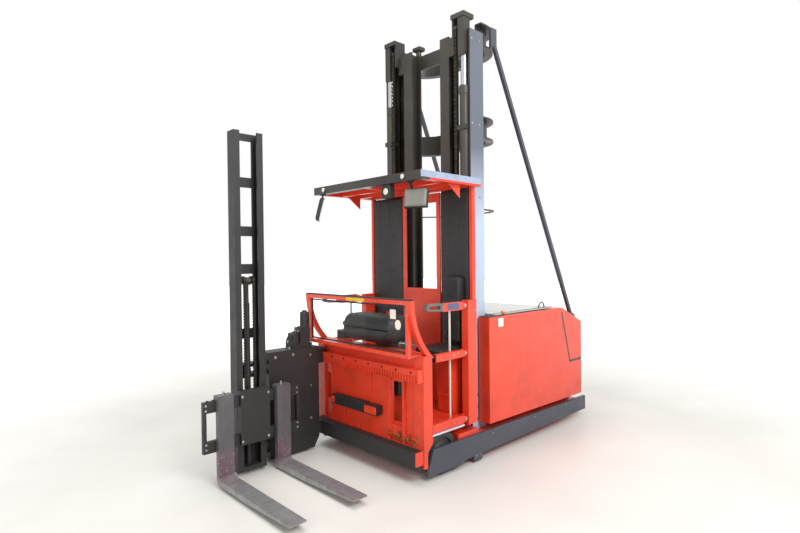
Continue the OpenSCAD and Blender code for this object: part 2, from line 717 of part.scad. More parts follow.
eye_r = 21;
gate_pin_d = 14;
module gate_bar(side, hinge, tip, thick) {
    y = side > 0 ? [bar_y0, bar_y1] : [-bar_y1, -bar_y0];
    difference() {
        union() {
            side_plate([[hinge[0], hinge[1] - eye_r], [hinge[0], hinge[1] + eye_r],
                [hinge[0] + 60, hinge[1] + thick / 2], [tip, hinge[1] + thick / 2],
                [tip, hinge[1] - thick / 2], [hinge[0] + 60, hinge[1] - thick / 2]], y);
            bar_y(hinge[0], y, hinge[1], 2 * eye_r);
        }
        bar_y(hinge[0], [y[0] - 1, y[1] + 1], hinge[1], gate_pin_d + 2 * shaft_fit);
        bar_y(hinge[0] + link_x, [y[0] - 1, y[1] + 1], hinge[1], link_d + 2 * shaft_fit);
    }
}
module gate_top(side) color(red) at_truck() {
    gate_bar(side, top_hinge, -190, 70);
    y = side > 0 ? [bar_y0, bar_y1] : [-bar_y1, -bar_y0];
    // Grey loop handle at the front end
    difference() {
        side_plate([[-191, gate_h - 30], [-191, gate_h + 35], [-40, gate_h + 35], [0, gate_h + 24],
            [0, gate_h - 12], [-40, gate_h - 22]], y);
        side_plate([[-160, gate_h - 12], [-160, gate_h + 17], [-46, gate_h + 17], [-20, gate_h + 10],
            [-20, gate_h], [-46, gate_h - 8]], [y[0] - 1, y[1] + 1]);
    }
}
module gate_mid(side) color(red) at_truck() gate_bar(side, mid_hinge, -103, 60);
module gate_low(side) color(red) at_truck() gate_bar(side, low_hinge, -60, 70);
module gate_link(side) color(pale) at_truck() {
    y = side * (bar_y0 - link_d / 2 - face_gap);
    for (span = [[top_hinge, mid_hinge], [mid_hinge, low_hinge]])
        strut([span[0][0] + link_x, y, span[0][1]], [span[1][0] + link_x, y, span[1][1]], link_d);
    // Pins through the three bars
    for (hinge = [top_hinge, mid_hinge, low_hinge])
        bar_y(hinge[0] + link_x, side > 0 ? [y, bar_y1] : [-bar_y1, y], hinge[1], link_d);
}
module gate_top_left() gate_top(1);
module gate_mid_left() gate_mid(1);
module gate_low_left() gate_low(1);
module gate_link_left() gate_link(1);
module gate_top_right() gate_top(-1);
module gate_mid_right() gate_mid(-1);
module gate_low_right() gate_low(-1);
module gate_link_right() gate_link(-1);

// Turret head

arm_y = [-swivel_y - arm_t / 2, -swivel_y + arm_t / 2];
module traverse_arm() color(black) at_truck() {
    difference() {
        side_plate([[arm_back, 120], [arm_back, arm_h], [arm_front, arm_h], [arm_front, 23],
            [arm_back + 56, 23]], arm_y);
        side_plate([[arm_back + 70, 200], [arm_back + 70, arm_h - 60], [arm_front - 40, arm_h - 60],
            [arm_front - 40, 200]], [arm_y[0] - 1, arm_y[0] + 60]);
    }
    // Shoes that hook over the two rails
    block([rail_top_front + face_gap, arm_back + 1], arm_y, [rail_top[0], rail_top[1] + 26]);
    block([wall_front + run_gap, rail_top_front + face_gap + 1], arm_y, [rail_top[1] + face_gap, rail_top[1] + 26]);
    block([rail_low_front + face_gap, arm_back + 1], arm_y, [rail_low[0], rail_low[1]]);
    // Pairs of lugs with the swivel pin
    for (z = [ear_low, ear_high]) {
        for (level = [z - 30 - run_gap, z + ear_t + run_gap]) hull() {
            translate([swivel_x, -swivel_y, level]) cylinder(h = 30, r = lug_r);
            block([arm_front - 20, arm_front], [-swivel_y - lug_r, -swivel_y + lug_r], [level, level + 30]);
        }
        translate([swivel_x, -swivel_y, z - run_gap - 1]) cylinder(h = ear_t + 2 * run_gap + 2, r = pivot_r);
    }
}

module valve_block() color(black) at_truck() {
    block([210, 400], [-swivel_y - 60, -swivel_y + 60], [arm_h + face_gap, arm_h + 40]);
    block([225, 330], [-swivel_y - 50, -swivel_y + 50], [arm_h + 39, arm_h + 180]);
    translate([250, -swivel_y, arm_h + 179]) cylinder(h = 130, r = 42);
}

module head_hoses() color(black) at_truck() {
    for (y = [-20, 20]) translate([330 + face_gap, -swivel_y + y, arm_h + 45]) {
        rotate([90, 0, 0]) rotate_extrude(angle = 90, $fn = 48) translate([100, 0]) circle(r = 8, $fn = 16);
        translate([100, 0, -45 + face_gap]) cylinder(h = 45 - face_gap, r = 8, $fn = 16);
    }
}

module swivel_mast() color(charcoal) at_truck() {
    web = 14;
    for (s = [-1, 1]) {
        x_out = swivel_x + s * aux_w / 2;
        x_in = x_out - s * aux_leg_w;
        block([min(x_out, x_out - s * web), max(x_out, x_out - s * web)],
            [aux_back_y, aux_front_y], [50, aux_h]);
        for (y = [aux_back_y, aux_front_y - flange_t])
            block([min(x_in, x_out), max(x_in, x_out)], [y, y + flange_t], [50, aux_h]);
    }
    for (row = [[50, 200], [1100, 82], [1637, 83], [1951, 82], [2355, 83], [2740, 60]])
        block([swivel_x - aux_w / 2 + 1, swivel_x + aux_w / 2 - 1], [aux_back_y, aux_back_y + 16],
            [row[0], row[0] + row[1]]);
    block([swivel_x - aux_w / 2, swivel_x + aux_w / 2], [aux_back_y, aux_front_y], [30, 66]);
    // Ears with bores for the swivel pin
    for (z = [ear_low, ear_high]) difference() {
        union() {
            translate([swivel_x, -swivel_y, z]) cylinder(h = ear_t, r = lug_r);
            block([swivel_x - lug_r, swivel_x + lug_r], [-swivel_y, aux_back_y + 1], [z, z + ear_t]);
        }
        translate([swivel_x, -swivel_y, z - 1]) cylinder(h = ear_t + 2, r = pivot_r + shaft_fit);
    }
    // Cylinder barrel between the channels
    difference() {
        translate([swivel_x, aux_back_y + 44, 66]) cylinder(h = 1334, d = 46);
        translate([swivel_x, aux_back_y + 44, 200]) cylinder(h = 1334, d = ram_d + 2 * shaft_fit);
    }
}

module swivel_ram() color(steel) at_truck() {
    translate([swivel_x, aux_back_y + 44, 400]) cylinder(h = ram_head_z - 400 - 60, d = ram_d);
    block([swivel_x - 26, swivel_x + 26], [aux_back_y + 26, aux_back_y + 70], [ram_head_z - 62, ram_head_z]);
    // Sheaves on each side of the head
    translate([swivel_x - chain_gap - 12, ram_sheave_y, ram_head_z - 30]) rotate([0, 90, 0])
        cylinder(h = 2 * chain_gap + 24, r = ram_sheave_r);
}

module swivel_chains() color(black) at_truck()
    for (x = [swivel_x - chain_gap, swivel_x + chain_gap])
        translate([x, ram_sheave_y, 0]) rotate([0, 0, 90]) {
            for (side = [1]) chain_run(side * (ram_sheave_r + 8), 0, 660, ram_head_z - 30, 24, 16, 24);
            chain_wrap(0, 0, ram_head_z - 30, ram_sheave_r + 8, 24, 16);
        }

module fork_carriage() color(charcoal) at_truck() {
    x0 = swivel_x - carriage_w / 2;
    x1 = swivel_x + carriage_w / 2;
    for (z = [[270, 360], [580, 667]]) block([x0, x1], [carriage_back, shank_back], z);
    for (x = [x0, x1 - 26]) block([x, x + 26], [carriage_back, shank_back], [270, 667]);
    block([swivel_x - 130, swivel_x + 130], [carriage_back, shank_back + 22], [270, 705]);
    // Rollers inside the channels
    for (s = [-1, 1]) for (z = [330, 620]) {
        x = swivel_x + s * (aux_w / 2 - 14 - 4);
        translate([x, (aux_back_y + aux_front_y) / 2, z]) rotate([0, -90 * s, 0])
            cylinder(h = 30, d = aux_depth - 2 * flange_t - 2 * face_gap);
    }
    for (s = [-1, 1]) {
        block([swivel_x + s * 65 - 7, swivel_x + s * 65 + 7],
            [aux_back_y + 34, carriage_back + 1], [300, 650]);
        for (z = [330, 620]) translate([swivel_x + s * 60, (aux_back_y + aux_front_y) / 2, z])
            rotate([0, 90 * s, 0]) cylinder(h = 30, d = 30);
    }
}

module fork(x) color(steel) at_truck() {
    tip = shank_front + fork_len;
    translate([x - fork_w / 2, 0, 0]) {
        block([0, fork_w], [shank_back + face_gap, shank_front], [fork_gap + fork_t, 705]);
        block([0, fork_w], [carriage_back - 1, shank_back + 1], [667 + face_gap, 705]);
    }
    // Blade, thinner to its tip
    translate([x + fork_w / 2, 0, 0]) rotate([90, 0, -90]) linear_extrude(fork_w)
        polygon([[-shank_back - face_gap, fork_gap + 20], [-shank_back - face_gap, fork_gap + fork_t + 1],
            [-shank_front, fork_gap + fork_t + 1], [-shank_front, fork_gap + fork_t], [-tip, fork_gap + fork_t],
            [-tip, fork_gap + fork_t - 12], [-shank_front - 400, fork_gap], [-shank_back - 20, fork_gap]]);
}
module fork_front() fork(fork_x + fork_spacing / 2);
module fork_rear() fork(fork_x - fork_spacing / 2);

chassis_frame();
skirt_left();
skirt_right();
body_shell();
battery();
battery_cover();
outer_mast();
mast_ties();
mast_stays();
lift_barrels();
centre_pole();
load_wheel_left();
load_wheel_right();
steering_yoke();
drive_wheel();
inner_mast();
lift_rods();
crossheads();
mast_chains();
cab_carriage();
cab_platform();
cab_front();
window_frame();
front_glass();
cab_back();
rear_posts();
overhead_guard();
head_lamps();
mirrors();
seat();
console();
upper_rail();
lower_rail();
energy_chain();
gate_top_left();
gate_mid_left();
gate_low_left();
gate_link_left();
gate_top_right();
gate_mid_right();
gate_low_right();
gate_link_right();
traverse_arm();
valve_block();
head_hoses();
swivel_mast();
swivel_ram();
swivel_chains();
fork_carriage();
fork_front();
fork_rear();
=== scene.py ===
# Looks of the order picker truck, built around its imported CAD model. All lengths are in metres.
import math

import bmesh
import bpy
from mathutils import Matrix, Vector


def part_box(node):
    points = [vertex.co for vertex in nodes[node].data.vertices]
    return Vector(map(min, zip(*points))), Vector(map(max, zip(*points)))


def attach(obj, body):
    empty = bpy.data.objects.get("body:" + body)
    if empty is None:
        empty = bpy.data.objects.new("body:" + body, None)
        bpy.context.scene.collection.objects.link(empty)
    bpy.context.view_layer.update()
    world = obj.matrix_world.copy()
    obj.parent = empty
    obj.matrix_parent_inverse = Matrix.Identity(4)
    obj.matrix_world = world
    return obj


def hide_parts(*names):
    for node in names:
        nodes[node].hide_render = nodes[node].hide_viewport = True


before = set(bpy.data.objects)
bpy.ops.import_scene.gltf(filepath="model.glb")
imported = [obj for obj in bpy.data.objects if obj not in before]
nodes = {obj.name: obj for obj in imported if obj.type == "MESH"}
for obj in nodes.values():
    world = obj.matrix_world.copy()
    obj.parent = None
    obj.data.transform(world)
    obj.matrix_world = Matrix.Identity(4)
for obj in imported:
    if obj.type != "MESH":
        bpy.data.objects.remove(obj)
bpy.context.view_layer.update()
scene = bpy.context.scene

# The truck's stations along X are measured from the front of its skirts; this is where that plane is
SKIRT_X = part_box("skirt_left")[1].x
# Width of the paint chips along sharp edges
CHIPPED_EDGE = 0.003
# Last frame of each pad's cloth simulation
CLOTH_FRAMES = 18
# Width of the photograph in pixels
PHOTO_WIDTH = 800
# Heights of the gate bars' hinges, top to bottom, and the hinges' station
TOP_BAR, MID_BAR, LOW_BAR, GATE_HINGE_X = 1.355, 0.955, 0.402, -0.468
# Outer faces, with the hair's breadth that small pieces stand off them
BODY_FACE, SKIRT_FACE, MAST_FACE, GATE_FACE = 0.6902, 0.7002, 0.5502, 0.6922


def truck(x, y, z):
    """A point given from the skirts' front, as a vector in the shared frame."""
    return Vector((x + SKIRT_X, y, z))


def colour(value):
    """An sRGB colour from 0 to 255 as linear RGBA."""
    return tuple(((c / 255 + 0.055) / 1.055) ** 2.4 if c > 10 else c / 3294.6 for c in value) + (1.0,)


class Shader:
    """A node material with short helpers for its links."""

    def __init__(self, name):
        self.material = bpy.data.materials.new(name)
        self.material.use_nodes = True
        self.tree = self.material.node_tree
        self.bsdf = self.tree.nodes["Principled BSDF"]
        self.coords = self.tree.nodes.new("ShaderNodeTexCoord")

    def node(self, kind, **settings):
        made = self.tree.nodes.new(kind)
        for key, value in settings.items():
            setattr(made, key, value)
        return made

    def link(self, source, target):
        self.tree.links.new(source, target)

    def noise(self, scale, detail=4.0, rough=0.55, stretch=(1, 1, 1)):
        mapping = self.node("ShaderNodeMapping")
        mapping.inputs["Scale"].default_value = stretch
        self.link(self.coords.outputs["Object"], mapping.inputs["Vector"])
        noise = self.node("ShaderNodeTexNoise")
        noise.inputs["Scale"].default_value = scale
        noise.inputs["Detail"].default_value = detail
        noise.inputs["Roughness"].default_value = rough
        self.link(mapping.outputs["Vector"], noise.inputs["Vector"])
        return noise.outputs["Fac"]

    def ramp(self, value, low, high, out_low=0.0, out_high=1.0):
        span = self.node("ShaderNodeMapRange")
        span.clamp = True
        for key, number in (("From Min", low), ("From Max", high), ("To Min", out_low), ("To Max", out_high)):
            span.inputs[key].default_value = number
        self.link(value, span.inputs["Value"])
        return span.outputs["Result"]

    def times(self, a, b):
        made = self.node("ShaderNodeMath", operation="MULTIPLY")
        for value, socket in ((a, made.inputs[0]), (b, made.inputs[1])):
            if isinstance(value, (int, float)):
                socket.default_value = value
            else:
                self.link(value, socket)
        return made.outputs["Value"]

    def mix(self, fac, a, b):
        made = self.node("ShaderNodeMix", data_type="RGBA")
        for value, socket in ((fac, made.inputs["Factor"]), (a, made.inputs[6]), (b, made.inputs[7])):
            if isinstance(value, (int, float, tuple)):
                socket.default_value = value
            else:
                self.link(value, socket)
        return made.outputs[2]

    def axis(self, name):
        """One coordinate of the point, in the piece's own frame, which for a CAD node is the shared frame."""
        split = self.node("ShaderNodeSeparateXYZ")
        self.link(self.coords.outputs["Object"], split.inputs["Vector"])
        return split.outputs[name]

    def abs_y(self):
        made = self.node("ShaderNodeMath", operation="ABSOLUTE")
        self.link(self.axis("Y"), made.inputs[0])
        return made.outputs["Value"]

    def within(self, name, low, high, soft=0.0005):
        """1 where a coordinate lies between low and high, otherwise 0."""
        value = self.axis(name)
        return self.times(self.ramp(value, low - soft, low), self.ramp(value, high, high + soft, 1.0, 0.0))

    def edges(self, radius):
        """1 on sharp outer edges, 0 on flat faces."""
        bevel = self.node("ShaderNodeBevel", samples=3)
        bevel.inputs["Radius"].default_value = radius
        geometry = self.node("ShaderNodeNewGeometry")
        dot = self.node("ShaderNodeVectorMath", operation="DOT_PRODUCT")
        self.link(bevel.outputs["Normal"], dot.inputs[0])
        self.link(geometry.outputs["Normal"], dot.inputs[1])
        return self.ramp(dot.outputs["Value"], 0.96, 0.86)

    def bump(self, height, distance, strength=0.5):
        made = self.node("ShaderNodeBump")
        made.inputs["Distance"].default_value = distance
        made.inputs["Strength"].default_value = strength
        self.link(height, made.inputs["Height"])
        self.link(made.outputs["Normal"], self.bsdf.inputs["Normal"])

    def base(self, value):
        if isinstance(value, tuple):
            self.bsdf.inputs["Base Color"].default_value = value
        else:
            self.link(value, self.bsdf.inputs["Base Color"])

    def rough(self, value):
        if isinstance(value, (int, float)):
            self.bsdf.inputs["Roughness"].default_value = value
        else:
            self.link(value, self.bsdf.inputs["Roughness"])

    def metal(self, value):
        self.bsdf.inputs["Metallic"].default_value = value


def paint(name, main, darker, chip, rough=0.35, wear=0.6, dirt=0.35, dirt_colour=(60, 48, 40), coat=0.0, extra=None):
    """Paint with large tone changes, patchy grime, scratches and chipped edges."""
    s = Shader(name)
    tone = s.mix(s.ramp(s.noise(1.3, 3), 0.35, 0.7), colour(main), colour(darker))
    if extra:
        tone = extra(s, tone)
    grime = s.times(s.ramp(s.noise(5.0, 8, 0.7), 0.52, 0.78), dirt)
    tone = s.mix(grime, tone, colour(dirt_colour))
    scratch = s.times(s.ramp(s.noise(26, 6, 0.75, (1, 1, 5)), 0.66, 0.72), 0.35 * wear)
    worn = s.times(s.edges(CHIPPED_EDGE), s.ramp(s.noise(30, 5, 0.7), 0.5, 0.6, 0.0, wear))
    tone = s.mix(scratch, tone, colour(chip))
    tone = s.mix(worn, tone, colour(chip))
    s.base(tone)
    s.rough(s.ramp(s.noise(9, 5), 0.3, 0.7, rough - 0.06, rough + 0.12))
    s.bsdf.inputs["Coat Weight"].default_value = coat
    s.bsdf.inputs["Coat Roughness"].default_value = 0.15
    s.bump(s.noise(160, 3), 0.0006, 0.15)
    return s.material


def plastic(name, main, darker, rough=0.5, grain=420, depth=0.0004):
    s = Shader(name)
    s.base(s.mix(s.ramp(s.noise(3, 5), 0.35, 0.7), colour(main), colour(darker)))
    s.rough(s.ramp(s.noise(14, 5), 0.3, 0.7, rough - 0.08, rough + 0.1))
    s.bump(s.noise(grain, 2), depth, 0.35)
    return s.material


def metal(name, main, darker, rough=0.35, stretch=(1, 1, 1), stain=(70, 55, 45), stained=0.4):
    s = Shader(name)
    tone = s.mix(s.ramp(s.noise(40, 6, 0.65, stretch), 0.3, 0.7), colour(main), colour(darker))
    tone = s.mix(s.times(s.ramp(s.noise(7, 7, 0.7), 0.5, 0.75), stained), tone, colour(stain))
    s.base(tone)
    s.metal(1.0)
    s.rough(s.ramp(s.noise(60, 5, 0.6, stretch), 0.3, 0.7, rough - 0.1, rough + 0.15))
    s.bump(s.noise(120, 4, 0.6, stretch), 0.0004, 0.3)
    return s.material


def guard_rim_and_reflection_tone(s, tone):
    """The guard's front lip is dark and its side edges carry a painted reflection in pale blue grey."""
    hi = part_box("overhead_guard")[1]
    side = s.times(s.within("Z", hi.z - 0.052, hi.z + 0.1), s.ramp(s.abs_y(), hi.y - 0.0015, hi.y - 0.0008))
    front = s.within("X", hi.x - 0.102, hi.x + 0.1)
    rim = s.times(front, s.within("Z", hi.z - 0.0705, hi.z - 0.0005))
    tone = s.mix(rim, tone, colour((44, 42, 39)))
    # Painted reflection: pale blue grey along the guard's side edges.
    return s.mix(side, tone, colour((150, 162, 186)))


def web_reflection_tone(s, tone):
    """The outer uprights' satin side faces carry a painted reflection in blue grey, paler lower down."""
    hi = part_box("outer_mast")[1]
    # Painted reflection: pale blue grey low on the side faces, darker blue grey higher up.
    side = s.mix(s.ramp(s.axis("Z"), 2.1, 2.75), colour((176, 188, 206)), colour((92, 98, 110)))
    return s.mix(s.ramp(s.abs_y(), hi.y - 0.002, hi.y - 0.001), tone, side)


def cover_tone(s, tone):
    """The loop handles on the battery cover are black."""
    return s.mix(s.within("Z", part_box("body_shell")[1].z + 0.0148, 9), tone, colour((40, 36, 35)))


def gate_tone(s, tone):
    """The top bar's loop handle is grey plastic."""
    return s.mix(s.ramp(s.axis("X"), SKIRT_X - 0.191, SKIRT_X - 0.189), tone, colour((92, 94, 92)))


def carriage_tone(s, tone):
    """The carriage's foremost faces are dark red and the rest is black."""
    return s.mix(s.ramp(s.axis("X"), SKIRT_X - 0.70, SKIRT_X - 0.69), tone, colour((128, 30, 26)))


RED = ((226, 66, 34), (214, 54, 28), (128, 56, 40))
red_paint = paint("red_paint", *RED, coat=0.3)
# The guard's paint carries a painted reflection along its side edges.
red_guard_reflected = paint("red_guard_paint", *RED, coat=0.2, extra=guard_rim_and_reflection_tone)
red_gate = paint("red_gate_paint", *RED, coat=0.3, extra=gate_tone)
charcoal_paint = paint("charcoal_paint", (70, 74, 84), (60, 64, 74), (110, 112, 118), rough=0.4, dirt=0.2)
MAST = ((50, 48, 42), (38, 36, 32), (92, 88, 78))
GREASE = (74, 62, 44)
mast_paint = paint("mast_paint", *MAST, rough=0.42, wear=0.35, dirt=0.6, dirt_colour=GREASE)
# The outer uprights' paint carries a painted reflection on their side faces.
outer_reflected_paint = paint("outer_mast_reflected_paint", *MAST, rough=0.36, wear=0.35, dirt=0.25, dirt_colour=GREASE, extra=web_reflection_tone)
carriage_paint = paint("carriage_paint", (44, 42, 38), (34, 32, 30), (92, 88, 78), extra=carriage_tone)
head_paint = paint("head_paint", (40, 38, 38), (32, 31, 32), (90, 86, 84),
                   rough=0.5, wear=0.5, dirt=0.3, dirt_colour=(48, 42, 38))
cover_paint = paint("cover_paint", (205, 206, 203), (190, 191, 188), (120, 120, 120),
                    rough=0.45, wear=0.2, dirt=0.2, dirt_colour=(120, 114, 104), extra=cover_tone)
white_paint = paint("white_paint", (214, 210, 202), (198, 194, 186), (120, 116, 110), rough=0.4, dirt=0.3)
black_plastic = plastic("black_plastic", (34, 34, 35), (26, 26, 27))
grey_plastic = plastic("grey_plastic", (120, 122, 122), (104, 106, 106))
rubber = plastic("rubber", (30, 30, 31), (22, 22, 23), rough=0.62, grain=300)
chain_steel = metal("chain_steel", (74, 70, 62), (44, 41, 37), rough=0.45, stain=(32, 27, 21), stained=0.8)
bolt_steel = metal("bolt_steel", (190, 190, 188), (150, 150, 148), rough=0.3, stained=0.2)
chrome = metal("chrome", (205, 206, 208), (180, 181, 184), rough=0.16, stretch=(1, 1, 6), stained=0.1)
ram_paint = metal("ram_steel", (92, 90, 88), (62, 60, 58), rough=0.4, stained=0.6)
tyre = plastic("tyre", (58, 56, 54), (44, 43, 42), rough=0.6, grain=180, depth=0.001)
brass = metal("brass", (196, 152, 96), (160, 116, 70), rough=0.35, stain=(120, 60, 30), stained=0.3)


def fork_material():
    """Grey worn blades with darker shanks, whose heels show faint pink paint and pale scrapes."""
    s = Shader("fork_steel")
    tone = s.mix(s.ramp(s.noise(16, 7, 0.7, (1, 1, 0.4)), 0.3, 0.7), colour((164, 163, 162)), colour((126, 124, 124)))
    shank = s.within("Z", 0.09, 1.0, 0.04)
    tone = s.mix(s.times(shank, 0.75), tone, colour((64, 58, 66)))
    low = s.within("Z", 0.05, 0.22, 0.06)
    y_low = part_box("fork_front")[0].y
    back = s.ramp(s.axis("Y"), y_low + 0.16, y_low + 0.09)
    heel = s.times(low, back)
    tone = s.mix(s.times(heel, s.ramp(s.noise(22, 7, 0.75), 0.40, 0.70, 0.0, 0.6)), tone, colour((150, 78, 112)))
    tone = s.mix(s.times(heel, s.ramp(s.noise(34, 7, 0.75), 0.54, 0.70, 0.0, 0.6)), tone, colour((190, 186, 194)))
    s.base(tone)
    s.metal(0.4)
    s.rough(s.ramp(s.noise(40, 6, 0.7), 0.3, 0.7, 0.3, 0.55))
    s.bump(s.noise(70, 6, 0.7), 0.001, 0.3)
    return s.material


def glass_material():
    s = Shader("window_glass")
    s.bsdf.inputs["Transmission Weight"].default_value = 1.0
    s.bsdf.inputs["IOR"].default_value = 1.1
    s.base(s.mix(s.ramp(s.noise(30, 8, 0.7), 0.55, 0.75), colour((246, 248, 248)), colour((210, 214, 212))))
    s.rough(s.ramp(s.noise(50, 8, 0.8), 0.5, 0.8, 0.0, 0.12))
    return s.material


fork_steel = fork_material()
glass = glass_material()


def leather_material():
    s = Shader("black_leather")
    s.base(s.mix(s.ramp(s.noise(6, 5), 0.35, 0.7), colour((32, 31, 31)), colour((22, 21, 21))))
    s.rough(s.ramp(s.noise(30, 5), 0.3, 0.7, 0.46, 0.62))
    cells = s.node("ShaderNodeTexVoronoi")
    cells.inputs["Scale"].default_value = 320
    s.link(s.coords.outputs["Object"], cells.inputs["Vector"])
    s.bump(cells.outputs["Distance"], 0.0008, 0.4)
    return s.material


leather = leather_material()

NODE_MATERIALS = {
    "body_shell": red_paint, "chassis_frame": red_paint, "cab_platform": red_paint, "cab_front": red_paint,
    "window_frame": red_paint, "rear_posts": red_paint, "upper_rail": red_paint, "overhead_guard": red_guard_reflected,
    "skirt_left": charcoal_paint, "skirt_right": charcoal_paint,
    "battery": black_plastic, "battery_cover": cover_paint,
    "outer_mast": outer_reflected_paint, "mast_ties": mast_paint, "mast_stays": charcoal_paint, "lift_barrels": mast_paint,
    "centre_pole": mast_paint, "inner_mast": mast_paint, "crossheads": mast_paint, "cab_carriage": carriage_paint,
    "gate_top_left": red_gate, "gate_top_right": red_gate,
    "steering_yoke": mast_paint, "lift_rods": chrome, "mast_chains": chain_steel, "swivel_chains": chain_steel,
    "swivel_ram": ram_paint, "load_wheel_left": tyre, "load_wheel_right": tyre, "drive_wheel": tyre,
    "front_glass": glass, "cab_back": leather, "seat": leather, "console": black_plastic, "mirrors": black_plastic,
    "head_lamps": bolt_steel, "lower_rail": head_paint, "energy_chain": black_plastic, "head_hoses": rubber,
    "traverse_arm": head_paint, "valve_block": head_paint, "swivel_mast": head_paint, "fork_carriage": head_paint,
    "fork_front": fork_steel, "fork_rear": fork_steel,
}
for name, node in nodes.items():
    chosen = NODE_MATERIALS.get(name) or (white_paint if name.startswith("gate_link") else red_paint)
    node.data.materials.clear()
    node.data.materials.append(chosen)


def place_camera():
    """The photograph's camera, from the vanishing points of the truck's length and width."""
    focal = 529.38
    rearwards = Vector((555.0, 13.5, -focal)).normalized()
    rightwards = Vector((-505.0, 2.5, -focal)).normalized()
    up = rearwards.cross(rightwards).normalized()
    turn = Matrix((-rearwards, -rightwards, up)).transposed()
    data = bpy.data.cameras.new("camera")
    data.sensor_width = 36.0
    data.lens = focal / PHOTO_WIDTH * data.sensor_width
    camera = bpy.data.objects.new("camera", data)
    camera.matrix_world = Matrix.Translation(truck(2.980, 3.520, 1.75)) @ turn.inverted().to_4x4()
    scene.collection.objects.link(camera)
    scene.camera = camera


def shown_white(tree, shader_kind, lit, seen, output, socket):
    """Light rays get the lit colour, and what the camera sees, also in gloss or through glass, the seen one."""
    path = tree.nodes.new("ShaderNodeLightPath")
    first = tree.nodes.new("ShaderNodeMath")
    first.operation = "MAXIMUM"
    second = tree.nodes.new("ShaderNodeMath")
    second.operation = "MAXIMUM"
    tree.links.new(path.outputs["Is Camera Ray"], first.inputs[0])
    tree.links.new(path.outputs["Is Glossy Ray"], first.inputs[1])
    tree.links.new(first.outputs["Value"], second.inputs[0])
    tree.links.new(path.outputs["Is Transmission Ray"], second.inputs[1])
    shaders = []
    for value in (lit, seen):
        shader = tree.nodes.new(shader_kind)
        shader.inputs["Color"].default_value = (1, 1, 1, 1)
        shader.inputs["Strength"].default_value = value
        shaders.append(shader)
    mix = tree.nodes.new("ShaderNodeMixShader")
    tree.links.new(second.outputs["Value"], mix.inputs[0])
    tree.links.new(shaders[0].outputs[0], mix.inputs[1])
    tree.links.new(shaders[1].outputs[0], mix.inputs[2])
    tree.links.new(mix.outputs[0], output.inputs[socket])


def light(name, at, target, size, power):
    data = bpy.data.lights.new(name, "AREA")
    data.shape = "SQUARE"
    data.size = size
    data.energy = power
    lamp = bpy.data.objects.new(name, data)
    lamp.location = at
    lamp.rotation_mode = "QUATERNION"
    lamp.rotation_quaternion = (Vector(at) - Vector(target)).to_track_quat("Z", "Y")
    scene.collection.objects.link(lamp)


def place_studio():
    world = bpy.data.worlds.new("studio")
    scene.world = world
    world.use_nodes = True
    tree = world.node_tree
    tree.nodes.clear()
    output = tree.nodes.new("ShaderNodeOutputWorld")
    shown_white(tree, "ShaderNodeBackground", 0.55, 1.0, output, "Surface")
    light("key", (1.5, 7.0, 6.5), (0, 0, 1.2), 4.0, 620)
    light("overhead", (0.5, -0.5, 8.0), (0, 0, 0), 5.0, 380)
    light("front_fill", (8.0, 1.0, 3.0), (0, 0, 1.2), 4.0, 160)
    mesh = bpy.data.meshes.new("floor")
    mesh.from_pydata([(-30, -30, 0), (30, -30, 0), (30, 30, 0), (-30, 30, 0)], [], [(0, 1, 2, 3)])
    floor = bpy.data.objects.new("floor", mesh)
    floor.location.z = -0.0005
    scene.collection.objects.link(floor)
    s = Shader("floor")
    tone = s.mix(s.ramp(s.noise(0.8, 6), 0.35, 0.7), colour((214, 212, 206)), colour((204, 202, 196)))
    s.base(tone)
    s.rough(s.ramp(s.noise(3, 6), 0.3, 0.7, 0.35, 0.5))
    away = s.node("ShaderNodeVectorMath", operation="LENGTH")
    s.link(s.coords.outputs["Object"], away.inputs[0])
    s.bsdf.inputs["Emission Color"].default_value = (1, 1, 1, 1)
    s.link(s.ramp(away.outputs["Value"], 3.0, 9.0), s.bsdf.inputs["Emission Strength"])
    mesh.materials.append(s.material)
    scene.view_settings.view_transform = "Standard"


